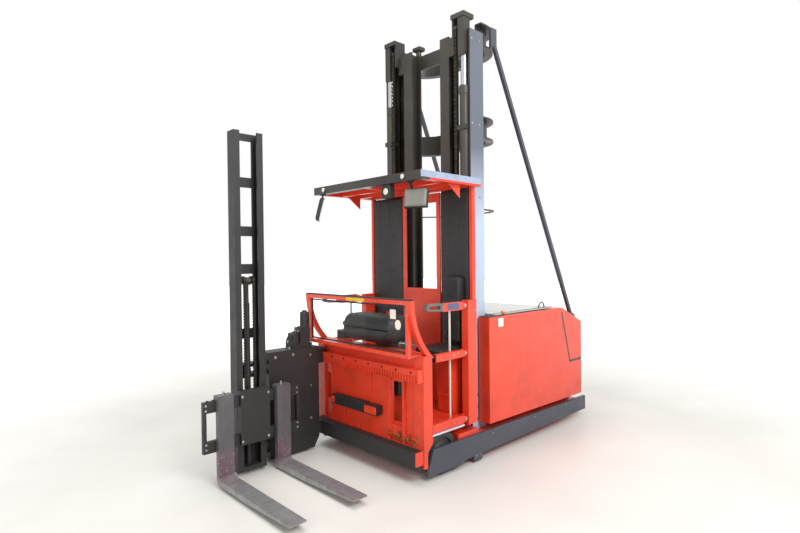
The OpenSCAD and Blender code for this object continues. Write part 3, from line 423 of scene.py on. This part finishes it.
class Solid:
    """Gathers simple forms, given in metres from the skirts' front, into one mesh."""

    def __init__(self):
        self.bm = bmesh.new()

    def loft(self, rings, closed=False):
        """A skin over rings of points that all have the same count."""
        made = [[self.bm.verts.new(truck(*p)) for p in ring] for ring in rings]
        for a, b in zip(made, made[1:] + made[:1] if closed else made[1:]):
            for i in range(len(a)):
                j = (i + 1) % len(a)
                self.bm.faces.new((a[i], a[j], b[j], b[i]))
        if not closed:
            self.bm.faces.new(list(reversed(made[0])))
            self.bm.faces.new(made[-1])

    def box(self, x, y, z):
        corners = ((x[0], y[0]), (x[1], y[0]), (x[1], y[1]), (x[0], y[1]))
        self.loft([[(cx, cy, level) for cx, cy in corners] for level in z])

    def plate_x(self, outline, x):
        """An outline drawn in Y and Z, from one X to another."""
        self.loft([[(level, py, pz) for py, pz in outline] for level in x])

    def plate_y(self, outline, y):
        """An outline drawn in X and Z, from one Y to another."""
        self.loft([[(px, level, pz) for px, pz in outline] for level in y])

    def turned(self, at, along, profile, sides=20):
        """A turned form: pairs of a distance along the axis and a radius."""
        axis = Vector(along).normalized()
        side = axis.orthogonal().normalized()
        other = axis.cross(side)
        rings = []
        for distance, radius in profile:
            ring = []
            for i in range(sides):
                angle = 2 * math.pi * i / sides
                p = Vector(at) + axis * distance + (side * math.cos(angle) + other * math.sin(angle)) * radius
                ring.append(tuple(p))
            rings.append(ring)
        self.loft(rings)

    def bolt(self, at, along, size=0.008):
        """A washer with a chamfered hexagon head on it."""
        self.turned(at, along, ((0, size * 1.25), (size * 0.22, size * 1.25), (size * 0.26, size * 1.15)), 20)
        self.turned(at, along, ((size * 0.2, size), (size * 0.75, size), (size * 0.9, size * 0.82)), 6)

    def tube(self, points, radius, sides=12, closed=False):
        """A tube along a smooth path."""
        path = [Vector(p) for p in points]
        rings = []
        count = len(path)
        for i, p in enumerate(path):
            before = path[i - 1] if i or closed else p
            after = path[(i + 1) % count] if i < count - 1 or closed else p
            along = (after - before).normalized()
            up = Vector((0, 0, 1)) if abs(along.z) < 0.9 else Vector((1, 0, 0))
            side = along.cross(up).normalized()
            other = side.cross(along)
            rings.append([tuple(p + (side * math.cos(2 * math.pi * k / sides)
                                     + other * math.sin(2 * math.pi * k / sides)) * radius) for k in range(sides)])
        self.loft(rings, closed)

    def done(self, name, material, body, slot, edge=0.0, smooth=False):
        """Makes the piece, which rides on a body and takes the material; slot is not used."""
        mesh = bpy.data.meshes.new(name)
        bmesh.ops.recalc_face_normals(self.bm, faces=self.bm.faces)
        self.bm.to_mesh(mesh)
        self.bm.free()
        mesh.materials.append(material)
        piece = bpy.data.objects.new(name, mesh)
        scene.collection.objects.link(piece)
        if smooth:
            for face in mesh.polygons:
                face.use_smooth = True
        if edge:
            bevel = piece.modifiers.new("edge", "BEVEL")
            bevel.width = edge
            bevel.segments = 2
            bevel.limit_method = "ANGLE"
        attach(piece, body)
        return piece


def curve(points, steps=8):
    """Points of a smooth curve through the given ones."""
    ends = [Vector(points[0])] + [Vector(p) for p in points] + [Vector(points[-1])]
    made = []
    for i in range(1, len(ends) - 2):
        a, b, c, d = ends[i - 1 : i + 3]
        for k in range(steps):
            t = k / steps
            made.append(0.5 * ((2 * b) + (c - a) * t + (2 * a - 5 * b + 4 * c - d) * t * t
                               + (3 * b - a - 3 * c + d) * t ** 3))
    return [tuple(p) for p in made + [ends[-1]]]


def rounded(low, high, radius, steps=6):
    """A rectangle with round corners, as pairs of coordinates."""
    made = []
    corners = ((high[0], high[1]), (low[0], high[1]), (low[0], low[1]), (high[0], low[1]))
    for quarter, (cx, cy) in enumerate(corners):
        mx = cx - radius if cx == high[0] else cx + radius
        my = cy - radius if cy == high[1] else cy + radius
        for k in range(steps + 1):
            angle = math.radians(90 * quarter + 90 * k / steps)
            made.append((mx + radius * math.cos(angle), my + radius * math.sin(angle)))
    return made


def swell(solid, name, material, body, voxel, pressure, cap, wall=None, replaced=()):
    """A padded piece: the form is remeshed, blown up as cloth, held within cap, and smoothed."""
    piece = solid.done(name, material, body, "padding")
    remesh = piece.modifiers.new("remesh", "REMESH")
    remesh.mode = "VOXEL"
    remesh.voxel_size = voxel
    graph = bpy.context.evaluated_depsgraph_get()
    mesh = bpy.data.meshes.new_from_object(piece.evaluated_get(graph))
    piece.modifiers.clear()
    piece.data = mesh
    start = [v.co.copy() for v in mesh.vertices]
    cloth = piece.modifiers.new("cloth", "CLOTH")
    cloth.settings.use_pressure = True
    cloth.settings.uniform_pressure_force = pressure
    cloth.settings.effector_weights.gravity = 0
    cloth.settings.quality = 4
    for number in range(1, CLOTH_FRAMES + 1):
        scene.frame_set(number)
    graph = bpy.context.evaluated_depsgraph_get()
    blown = bpy.data.meshes.new_from_object(piece.evaluated_get(graph))
    piece.modifiers.clear()
    piece.data = blown
    for v, before in zip(blown.vertices, start):
        move = v.co - before
        if move.length > cap:
            move *= cap / move.length
        v.co = before + move
        if wall is not None:
            v.co.x = max(v.co.x, SKIRT_X + wall)
    scene.frame_set(1)
    piece.data.name = name
    piece.data.materials.clear()
    piece.data.materials.append(material)
    for face in piece.data.polygons:
        face.use_smooth = True
    smooth = piece.modifiers.new("smooth", "SUBSURF")
    smooth.levels = smooth.render_levels = 1
    if replaced:
        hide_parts(*replaced)
    return piece


def channel(piece, axis, at, width, depth, along=(1, 0, 0)):
    """A sewn channel: points near a line sink along a direction."""
    for v in piece.data.vertices:
        away = abs(v.co[axis] - at) / width
        if away < 2.5:
            v.co -= Vector(along) * depth * math.exp(-away * away * 1.6)


def make_pads():
    """The padded pillars, the back cushion and the folding seat."""
    front, rear = -0.606, -0.6697
    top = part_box("cab_back")[1].z - 0.006
    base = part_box("cab_back")[0].z + 0.004
    for side in (1, -1):
        pad = Solid()
        outline = [(rear, 0.246), (rear, 0.622), (front, 0.622), (front, 0.378), (rear + 0.014, 0.250)]
        pad.loft([[(x, side * y, z) for x, y in outline] for z in (base, top)])
        name = "pillar_pad_left" if side > 0 else "pillar_pad_right"
        piece = swell(pad, name, leather, "cab", 0.011, 3.0, 0.004, rear, ("cab_back",))
        channel(piece, 1, side * 0.500, 0.004, 0.003)
        for z in (0.93, 1.45, 1.97):
            channel(piece, 2, z, 0.005, 0.003)
    wall = Solid()
    for z in ((base, 1.469), (2.271, top)):
        wall.plate_x(((-0.2005, z[0]), (0.2005, z[0]), (0.2005, z[1]), (-0.2005, z[1])), (rear, rear + 0.0155))
    for side in (-1, 1):
        y = sorted((side * 0.2010, side * 0.2440))
        wall.box((rear, rear + 0.0155), y, (base, top))
    wall.done("window_panels", red_paint, "cab", "red_paint", 0.001)
    back = Solid()
    back.plate_x(rounded((0.388, 1.008), (0.583, 1.600), 0.045), (-0.594, -0.530))
    piece = swell(back, "back_cushion", leather, "cab", 0.007, 4.0, 0.006, -0.5994, ("seat",))
    for z in (1.20, 1.40):
        channel(piece, 2, z, 0.004, 0.005)
    seat = Solid()
    seat.plate_y([(-0.592, 0.908), (-0.592, 0.975), (-0.570, 0.985), (-0.290, 0.990), (-0.268, 0.970),
                  (-0.274, 0.930), (-0.33, 0.910)], (0.286, 0.584))
    piece = swell(seat, "seat_cushion", leather, "cab", 0.007, 4.0, 0.006, -0.5994, ("seat",))
    channel(piece, 1, 0.435, 0.004, 0.004, (0, 0, 1))
    stand = Solid()
    stand.plate_y([(-0.5994, 0.412), (-0.5994, 0.904), (-0.423, 0.904), (-0.460, 0.412)], (0.383, 0.557))
    stand.box((-0.462, -0.440), (0.400, 0.540), (0.56, 0.575))
    stand.done("seat_stand", red_paint, "cab", "red_paint", 0.006)
    hinge = Solid()
    hinge.turned((-0.49, 0.30, 0.9065), (0, 1, 0), ((0, 0.009), (0.001, 0.010), (0.27, 0.010), (0.271, 0.009)))
    hinge.done("seat_hinge", bolt_steel, "cab", "steel")


def make_console():
    """The rounded control desk, its leg and its levers."""
    body = Solid()
    rings = []
    for x, shrink in ((-0.188, 0.030), (-0.180, 0.012), (-0.150, 0.0), (0.010, 0.0), (0.040, 0.012), (0.054, 0.036)):
        outline = rounded((-0.315 + shrink, 1.035 + shrink), (0.330 - shrink, 1.268 - shrink), 0.085, 8)
        rings.append([(x, y, z) for y, z in outline])
    body.loft(rings)
    body.loft([[(x, y, z) for x, y in rounded((-0.165, 0.04), (-0.045, 0.33), 0.03)] for z in (0.602, 1.06)])
    piece = body.done("console_body", black_plastic, "cab", "black_plastic", 0.004, True)
    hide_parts("console")
    side = Solid()
    side.loft([[(x, y, z) for x, y in rounded((-0.160, -0.545), (-0.050, -0.425), 0.02)] for z in (1.0052, 1.082)])
    side.turned((-0.105, -0.485, 1.082), (0.2, 0.3, 1),
                ((0, 0.011), (0.05, 0.009), (0.055, 0.018), (0.075, 0.022), (0.088, 0.014)), 16)
    side.done("console_side", black_plastic, "cab", "black_plastic", 0.004)
    knob = Solid()
    knob.turned((-0.06, 0.19, 1.2665), (0, 0, 1),
                ((0, 0.026), (0.006, 0.026), (0.007, 0.012), (0.022, 0.012), (0.024, 0.021), (0.032, 0.018)), 24)
    knob.done("stop_knob", red_knob, "cab", "black_plastic")
    wheel = Solid()
    centre = (-0.192, -0.06, 1.15)

    def on_rim(angle, reach):
        return (centre[0] - 0.012, centre[1] + reach * math.cos(angle), centre[2] + reach * math.sin(angle))

    wheel.tube([on_rim(2 * math.pi * i / 40, 0.085) for i in range(40)], 0.0085, 10, True)
    for angle in (90, 210, 330):
        wheel.tube([(centre[0] - 0.002, centre[1], centre[2]), on_rim(math.radians(angle), 0.083)], 0.006, 8)
    wheel.turned((centre[0] + 0.012, centre[1], centre[2]), (-1, 0, 0), ((0, 0.024), (0.016, 0.022), (0.019, 0.016)))
    wheel.done("steering_knob", rubber, "cab", "rubber", 0, True)
    screen = Solid()
    screen.plate_x(rounded((0.07, 1.12), (0.23, 1.22), 0.008), (-0.1915, -0.1865))
    screen.done("display", glossy_dark, "cab", "black_plastic", 0.001)
    rail = Solid()
    rail.tube(curve([(-0.03, 0.34, 1.052), (-0.06, 0.42, 1.050), (-0.06, 0.49, 1.046), (-0.05, 0.56, 1.044),
                     (-0.04, 0.6, 1.030)]), 0.006, 10)
    rail.done("console_rail", bolt_steel, "cab", "steel", 0, True)
    post = Solid()
    post.tube([(0.0, -0.256, 1.0045), (0.0, -0.256, 1.2), (0.0, -0.256, 1.37)], 0.005, 10)
    post.turned((0.0, -0.256, 1.0045), (0, 0, 1), ((0, 0.016), (0.006, 0.016), (0.008, 0.008)), 16)
    post.done("thin_post", grey_plastic, "cab", "grey_plastic", 0, True)


def make_window():
    """Rubber lid, blank labels, screws and the glass seal of the front window."""
    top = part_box("window_frame")[1].z
    lid = Solid()
    lid.plate_y([(0.141, top + 0.0002), (0.189, top + 0.0002), (0.190, top + 0.005), (0.182, top + 0.010),
                 (0.148, top + 0.010), (0.140, top + 0.005)], (-0.698, 0.690))
    lid.done("window_lid", rubber, "cab", "rubber", 0.001)
    seal = Solid()
    low, high = (-0.628, 1.024), (0.628, 1.388)
    outer = rounded(low, high, 0.02)
    inner = rounded((low[0] + 0.012, low[1] + 0.012), (high[0] - 0.012, high[1] - 0.012), 0.012)
    front = [[(0.166, y, z) for y, z in ring] for ring in (outer, inner)]
    back = [[(0.161, y, z) for y, z in ring] for ring in (inner, outer)]
    seal.loft(front + back, closed=True)
    seal.done("window_seal", rubber, "cab", "rubber")
    strip = Solid()
    strip.plate_x(rounded((-0.086, 1.398), (0.154, 1.426), 0.002), (0.1852, 0.1860))
    strip.done("blank_strip", yellow_plate, "cab", "black_plastic")
    labels = Solid()
    labels.plate_x(rounded((0.447, 1.279), (0.514, 1.353), 0.004), (0.1632, 0.1640))
    labels.plate_x([(0.536 + 0.0335 * math.cos(a), 1.236 + 0.039 * math.sin(a))
                    for a in (2 * math.pi * i / 32 for i in range(32))], (0.1632, 0.1640))
    labels.done("blank_labels", pale_plate, "cab", "grey_plastic")
    screws = Solid()
    for y in (-0.60, -0.30, 0.0, 0.30, 0.60):
        screws.bolt((0.1852, y, 1.412), (1, 0, 0), 0.005)
        screws.bolt((0.1792, y, 0.999), (1, 0, 0), 0.005)
    for side in (-1, 1):
        screws.bolt((0.1792, side * 0.647, 1.10), (1, 0, 0), 0.0045)
        screws.bolt((0.1792, side * 0.647, 1.32), (1, 0, 0), 0.0045)
    screws.done("window_screws", bolt_steel, "cab", "steel")


def make_front():
    """End blocks, sockets, bolts, tabs and the energy chain's links on the front wall and its rails."""
    ends = Solid()
    for y, out in ((0.6802, 0.694), (-0.6502, -0.664)):
        lo, hi = min(y, out), max(y, out)
        ends.box((0.0525, 0.105), (lo, hi), (0.79, 0.893))
        ends.box((0.0525, 0.134), (lo, hi), (0.155, 0.262))
    ends.done("rail_ends", red_paint, "cab", "red_paint", 0.003)
    socket = Solid()
    for i in range(8):
        y = -0.58 + 0.17 * i
        socket.turned((0.1002, y, 0.866), (1, 0, 0),
                      ((0, 0.010), (0.0025, 0.010), (0.003, 0.008), (0.001, 0.006)), 16)
    socket.done("rail_sockets", dark_red, "cab", "red_paint")
    bolts = Solid()
    for y, z in ((-0.60, 0.284), (-0.40, 0.284), (-0.10, 0.284), (0.18, 0.284), (0.60, 0.284),
                 (-0.65, 0.55), (0.65, 0.55)):
        bolts.bolt((0.0522, y, z), (1, 0, 0), 0.0055)
    bolts.done("front_bolts", bolt_steel, "cab", "steel")
    tabs = Solid()
    for y in (0.308, 0.416, 0.520, 0.620):
        tabs.plate_x(rounded((y - 0.011, 0.300), (y + 0.011, 0.352), 0.004), (0.0525, 0.0575))
        tabs.plate_x(rounded((y - 0.011, 0.338), (y + 0.011, 0.352), 0.004), (0.0570, 0.0780))
        tabs.turned((0.0575, y, 0.318), (1, 0, 0), ((0, 0.007), (0.003, 0.007), (0.005, 0.005)), 16)
    tabs.box((0.0305, 0.0530), (0.292, 0.636), (0.290, 0.302))
    tabs.done("brass_tabs", brass, "cab", "steel", 0.001)
    bracket = Solid()
    bracket.plate_x(rounded((0.050, 0.450), (0.2005, 0.512), 0.008), (0.1072, 0.1105))
    bracket.plate_x(rounded((-0.4205, 0.452), (-0.37, 0.508), 0.006), (0.1072, 0.1105))
    bracket.done("energy_brackets", red_paint, "cab", "red_paint", 0.001)
    links = Solid()
    for i in range(17):
        y = -0.36 + 0.024 * i
        links.plate_x(rounded((y, 0.446), (y + 0.019, 0.514), 0.005), (0.1072, 0.1115))
        links.plate_y([(0.046, 0.5202), (0.106, 0.5202), (0.102, 0.5250), (0.050, 0.5250)], (y, y + 0.019))
    links.done("energy_links", black_plastic, "cab", "black_plastic", 0.001)


def make_guard():
    """Pressings, gussets, lamps and rivets of the overhead guard."""
    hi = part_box("overhead_guard")[1]
    under = hi.z - 0.0703
    press = Solid()
    for x in (-0.545, -0.345, -0.10):
        for side in (-1, 1):
            y0, y1 = (0.10, 0.56) if side > 0 else (-0.56, -0.10)
            outline = rounded((x - 0.055, y0), (x + 0.055, y1), 0.03)
            press.loft([[(px, py, z) for px, py in outline] for z in (hi.z - 0.0142, hi.z - 0.022)])
    press.done("guard_pressings", red_paint, "cab", "red_paint", 0.002)
    gusset = Solid()
    bent = ((-0.4515, under), (-0.300, under), (-0.330, under - 0.02), (-0.4515, under - 0.11))
    for side in (-1, 1):
        gusset.plate_y(bent, (side * 0.650, side * 0.658))
    gusset.done("guard_gussets", red_paint, "cab", "red_paint", 0.003)
    lens = Solid()
    for y in (-0.547, 0.515):
        lens.turned((0.0826, y, hi.z - 0.035), (1, 0, 0),
                    ((0, 0.0185), (0.002, 0.018), (0.004, 0.012), (0.005, 0.004)), 28)
    lens.turned((0.0537, 0.290, hi.z - 0.128), (1, 0, 0),
                ((0, 0.029), (0.003, 0.027), (0.006, 0.018), (0.007, 0.006)), 28)
    lens.done("lamp_lenses", lens_glass, "cab", "glass", 0, True)
    housing = Solid()
    housing.plate_x(rounded((0.235, hi.z - 0.186), (0.345, hi.z - 0.0705), 0.018), (0.002, 0.0535))
    housing.done("lamp_housing", black_plastic, "cab", "black_plastic", 0.003)
    rivets = Solid()
    for side in (-1, 1):
        for x in (-0.58, -0.46, -0.34, -0.22, -0.10):
            rivets.turned((x, side * 0.7101, hi.z - 0.025), (0, side, 0),
                          ((0, 0.005), (0.0015, 0.0045), (0.0025, 0.002)), 14)
    rivets.done("guard_rivets", bolt_steel, "cab", "steel")


def make_mirrors():
    """Reflecting faces to the rear and rounded shells to the front of both mirrors."""
    for word, at, yaw, pitch, half, shell_look in (
            ("left", (0, 0.590, 2.225), 25, -12, (0.020, 0.095, 0.075), mirror_shell),
            ("right", (0.075, -0.600, 2.220), -40, -14, (0.012, 0.060, 0.110), black_plastic)):
        turn = Matrix.Rotation(math.radians(yaw), 3, "Z") @ Matrix.Rotation(math.radians(pitch), 3, "Y")

        def ring(x, inset, corner):
            low = (-half[1] + inset, -half[2] + inset)
            return [tuple(Vector(at) + turn @ Vector((x, y, z))) for y, z in rounded(low, (-low[0], -low[1]), corner)]

        plate = Solid()
        plate.loft([ring(-half[0] - 0.0003, 0.008, 0.018), ring(-half[0] - 0.0016, 0.009, 0.018)])
        plate.done(word + "_mirror_glass", mirror_glass, "cab", "glass")
        shell = Solid()
        shell.loft([ring(half[0] + 0.0003, 0.002, 0.012), ring(half[0] + 0.008, 0.006, 0.018),
                    ring(half[0] + 0.014, 0.018, 0.024), ring(half[0] + 0.016, 0.034, 0.024)])
        shell.done(word + "_mirror_back", shell_look, "cab", "black_plastic", 0.002)


def across(side, near, far):
    """Two distances from the middle, as a rising pair on the left (1) or right (-1) side."""
    return tuple(sorted((side * near, side * far)))


def make_gates():
    """Caps, strips, screws, pins and blank plates of the gates, and the sills under them."""
    for side, word in ((1, "left"), (-1, "right")):
        strip = Solid()
        strip.plate_y([(-0.405, 1.3905), (-0.188, 1.3905), (-0.188, 1.3965), (-0.405, 1.3965)],
                      across(side, 0.654, 0.690))
        strip.done("gate_strip_" + word, rubber, "gate_top_" + word, "rubber", 0.001)
        plate = Solid()
        plate.plate_y(rounded((-0.385, 1.330), (-0.245, 1.382), 0.008), across(side, GATE_FACE, GATE_FACE + 0.0012))
        plate.done("gate_plate_" + word, blue_plate, "gate_top_" + word, "grey_plastic")
        for gate, tip, z, half, screw_at in (("mid", -0.103, MID_BAR, 0.0295, (-0.364, MID_BAR + 0.012)),
                                             ("low", -0.060, LOW_BAR, 0.0345, (-0.315, LOW_BAR))):
            end = "%s_%s" % (gate, word)
            cap = Solid()
            outline = rounded((-0.0195, -half), (0.0195, half), 0.004)
            cap.plate_x([(side * (0.672 + py), z + pz) for py, pz in outline], (tip + 0.0002, tip + 0.012))
            cap.done("gate_cap_" + end, black_plastic, "gate_" + end, "black_plastic", 0.002)
            screw = Solid()
            screw.bolt((screw_at[0], side * GATE_FACE, screw_at[1]), (0, side, 0), 0.006)
            screw.done("gate_screw_" + end, bolt_steel, "gate_" + end, "steel")
        pins = Solid()
        for z in (TOP_BAR, MID_BAR, LOW_BAR):
            pins.turned((GATE_HINGE_X, side * GATE_FACE, z), (0, side, 0),
                        ((0, 0.013), (0.003, 0.013), (0.005, 0.009)), 20)
            pins.bolt((-0.585, side * SKIRT_FACE, z - 0.05), (0, side, 0), 0.006)
        pins.done("gate_pins_" + word, bolt_steel, "cab", "steel")
        sill = Solid()
        sill.plate_y([(-0.450, 0.343), (-0.052, 0.343), (-0.052, 0.360), (-0.450, 0.360)],
                     across(side, 0.6302, 0.690))
        sill.done("sill_" + word, pale_trim, "cab", "grey_plastic", 0.002)


def make_body():
    """Stripes, plates, caps, doors and bolts of the rear body and the skirts."""
    for side, word in ((1, "left"), (-1, "right")):
        face = across(side, BODY_FACE, BODY_FACE + 0.0008)
        stripe = Solid()
        stripe.plate_y([(-2.030, 1.178), (-2.054, 1.178), (-2.224, 0.632), (-2.200, 0.632)], face)
        stripe.plate_y([(-2.212, 0.632), (-2.452, 0.632), (-2.452, 0.656), (-2.206, 0.656)], face)
        stripe.done("body_stripe_" + word, stripe_paint, "chassis", "charcoal_paint")
        plate = Solid()
        plate.plate_y(rounded((-1.009, 1.128), (-0.932, 1.205), 0.004),
                      across(side, BODY_FACE, BODY_FACE + 0.001))
        plate.done("body_plate_" + word, pale_plate, "chassis", "grey_plastic")
        cap = Solid()
        cap.turned((-0.20, side * 0.7001, 0.1775), (0, side, 0), ((0, 0.0365), (0.001, 0.0365), (0.0016, 0.034)), 40)
        cap.done("axle_cover_" + word, charcoal_paint, "chassis", "charcoal_paint")
        bolts = Solid()
        for x, z in ((-0.585, 0.062), (-0.645, 0.058)):
            bolts.bolt((x, side * SKIRT_FACE, z), (0, side, 0), 0.009)
        for x in (-0.83, -1.5, -2.1, -2.42):
            bolts.bolt((x, side * SKIRT_FACE, 0.20), (0, side, 0), 0.006)
        bolts.done("skirt_bolts_" + word, bolt_steel, "chassis", "steel")
        bracket = Solid()
        bracket.plate_y([(-0.672, 0.016), (-0.556, 0.018), (-0.552, 0.084), (-0.668, 0.082)],
                        across(side, 0.7001, 0.7030))
        bracket.done("skirt_bracket_" + word, charcoal_paint, "chassis", "charcoal_paint", 0.001)
        latch = Solid()
        latch.plate_y(rounded((-0.905, 1.165), (-0.868, 1.205), 0.004), across(side, 0.5503, 0.5650))
        for z in (0.519, 0.408, 0.30):
            latch.bolt((-0.80, side * 0.5503, z), (0, side, 0), 0.009)
        latch.bolt((-0.887, side * 0.5652, 1.185), (0, side, 0), 0.009)
        latch.done("mast_latch_" + word, bolt_steel, "chassis", "steel", 0.001)
        rim = Solid()
        rim.box((-0.982, -0.801), across(side, 0.574, 0.688), (1.2222, 1.2272))
        rim.done("body_rim_" + word, rubber, "chassis", "rubber", 0.0015)
    cap = Solid()
    cap.turned((-1.104, 0.62, 1.2363), (0, 0, 1), ((0, 0.020), (0.012, 0.020), (0.020, 0.015), (0.024, 0.006)), 24)
    cap.done("filler_cap", orange_cap, "battery_cover", "black_plastic", 0, True)
    seams = Solid()
    for side in (-1, 1):
        for z in (0.36, 0.98):
            seams.turned((-2.4532, side * 0.60, z), (-1, 0, 0),
                         ((0, 0.014), (0.002, 0.014), (0.006, 0.010), (0.007, 0.004)), 20)
    seams.done("rear_fasteners", bolt_steel, "chassis", "steel", 0, True)
    door = Solid()
    for side in (-1, 1):
        y0, y1 = across(side, 0.012, 0.655)
        door.plate_x(rounded((y0, 0.305), (y1, 1.010), 0.02), (-2.4562, -2.4532))
    door.done("rear_doors", red_paint, "chassis", "red_paint", 0.001)
    vents = Solid()
    for row in range(6):
        z = 0.86 - 0.028 * row
        louvre = ((-2.4563, z), (-2.4563, z + 0.012), (-2.4655, z + 0.002), (-2.4655, z))
        for side in (-1, 1):
            vents.plate_y(louvre, across(side, 0.20, 0.48))
    vents.done("rear_louvres", red_paint, "chassis", "red_paint")
    lips = Solid()
    for side in (-1, 1):
        lips.plate_y([(-1.994, 1.2364), (-0.976, 1.2364), (-0.976, 1.2384), (-1.994, 1.2384)],
                     across(side, 0.600, 0.612))
    lips.done("cover_beads", cover_paint, "battery_cover", "grey_plastic", 0.0008)


def make_mast():
    """Bolts of the mast and collars of the lift barrels."""
    caps = Solid()
    for side in (1, -1):
        for x in (-0.80, -0.74):
            for y in (0.44, 0.495):
                caps.bolt((x, side * y, 3.9402), (0, 0, 1), 0.010)
    caps.done("cap_bolts", bolt_steel, "inner_mast", "steel")
    ties = Solid()
    for z in (2.30, 2.95, 3.70):
        for side in (-1, 1):
            for x in (-0.76, -0.86):
                ties.bolt((x, side * MAST_FACE, z), (0, side, 0), 0.009)
    ties.done("tie_bolts", bolt_steel, "chassis", "steel")
    collar = Solid()
    for side in (-1, 1):
        collar.turned((-0.735, side * 0.481, 3.2803), (0, 0, 1),
                      ((0, 0.044), (0.012, 0.044), (0.016, 0.038), (0.016, 0.0312), (0.0, 0.0312)), 32)
    collar.done("barrel_collars", ram_paint, "chassis", "steel")


def make_head():
    """Fittings of the turret head."""
    arm_left = -0.555
    bolts = Solid()
    for x, z in ((0.24, 0.88), (0.24, 0.60), (0.24, 0.30), (0.60, 0.90), (0.60, 0.10), (0.42, 0.90)):
        bolts.bolt((x, arm_left + 0.0002, z), (0, 1, 0), 0.010)
    bolts.done("arm_bolts", bolt_steel, "head", "steel")
    cover = Solid()
    cover.plate_y(rounded((0.235, 0.36), (0.50, 0.62), 0.02), (arm_left + 0.0002, arm_left + 0.005))
    cover.done("arm_cover", head_paint, "head", "head_paint", 0.002)
    motor = Solid()
    motor.loft([[(x, y, z) for x, y in rounded((0.345, -0.685), (0.398, -0.580), 0.008)] for z in (0.9905, 1.085)])
    motor.turned((0.277, -0.63, 1.1302), (0, 0, 1), ((0, 0.05), (0.006, 0.05), (0.008, 0.0425)), 32)
    for z in (1.15, 1.165, 1.18, 1.195, 1.21):
        motor.turned((0.250, -0.63, z), (0, 0, 1),
                     ((0, 0.0425), (0.001, 0.046), (0.005, 0.046), (0.006, 0.0425)), 32)
    motor.turned((0.250, -0.63, 1.2592), (0, 0, 1),
                 ((0, 0.040), (0.010, 0.038), (0.012, 0.024), (0.024, 0.022), (0.026, 0.010)), 32)
    motor.done("valve_details", head_paint, "head", "head_paint", 0.0015)
    joints = Solid()
    for y in (-0.65, -0.61):
        joints.turned((0.322, y, 1.095), (1, 0, 0), ((0, 0.013), (0.012, 0.013), (0.014, 0.010), (0.022, 0.010)), 6)
        joints.turned((0.4303, y, 0.9502), (0, 0, 1), ((0, 0.013), (0.016, 0.013), (0.018, 0.0085)), 6)
    joints.done("hose_unions", bolt_steel, "head", "steel")
    frame_bolts = Solid()
    for x in (0.474, 1.286):
        for z in (0.30, 0.34, 0.60, 0.64):
            frame_bolts.bolt((x, -0.4178, z), (0, 1, 0), 0.007)
    for x in (0.765, 0.995):
        for z in (0.30, 0.66):
            frame_bolts.bolt((x, -0.3958, z), (0, 1, 0), 0.009)
    frame_bolts.done("carriage_bolts", bolt_steel, "forks", "steel")
    notches = Solid()
    for i in range(17):
        x = 0.49 + 0.048 * i
        if abs(x - 0.88) > 0.14:
            notches.plate_y([(x, 0.6672), (x + 0.018, 0.6672), (x + 0.016, 0.6745), (x + 0.002, 0.6745)],
                            (-0.444, -0.426))
    notches.done("carriage_notches", head_paint, "forks", "head_paint")
    hooks = Solid()
    for x in (0.632, 1.144):
        hooks.turned((x, -0.4175, 0.7052), (0, 0, 1),
                     ((0, 0.016), (0.004, 0.016), (0.006, 0.010), (0.020, 0.010), (0.022, 0.006)), 16)
    hooks.done("fork_catches", bolt_steel, "forks", "steel")


dark_red = plastic("dark_red", (96, 22, 16), (78, 18, 14), rough=0.45)
red_knob = plastic("red_knob", (176, 24, 20), (150, 20, 18), rough=0.3, grain=60)
yellow_plate = plastic("yellow_plate", (232, 190, 30), (214, 170, 26), rough=0.4, grain=200)
pale_plate = plastic("pale_plate", (236, 226, 214), (222, 212, 200), rough=0.45, grain=220)
blue_plate = plastic("blue_plate", (84, 92, 124), (70, 78, 108), rough=0.4, grain=220)
pale_trim = plastic("pale_trim", (206, 200, 210), (176, 172, 182), rough=0.4, grain=120)
orange_cap = plastic("orange_cap", (232, 158, 60), (214, 138, 46), rough=0.4)
stripe_paint = plastic("stripe_paint", (66, 60, 66), (54, 50, 56), rough=0.4)
mirror_shell = plastic("mirror_shell", (132, 132, 122), (108, 108, 100), rough=0.45)
glossy_dark = plastic("glossy_dark", (18, 20, 24), (12, 14, 17), rough=0.12, grain=30, depth=0.0001)
mirror_glass = metal("mirror_glass", (225, 228, 230), (205, 208, 210), rough=0.12, stained=0.1)
lens_glass = plastic("lens_glass", (222, 218, 200), (200, 196, 180), rough=0.15, grain=90, depth=0.0006)
make_pads()
make_console()
make_window()
make_front()
make_guard()
make_mirrors()
make_gates()
make_body()
make_mast()
make_head()
place_camera()
place_studio()
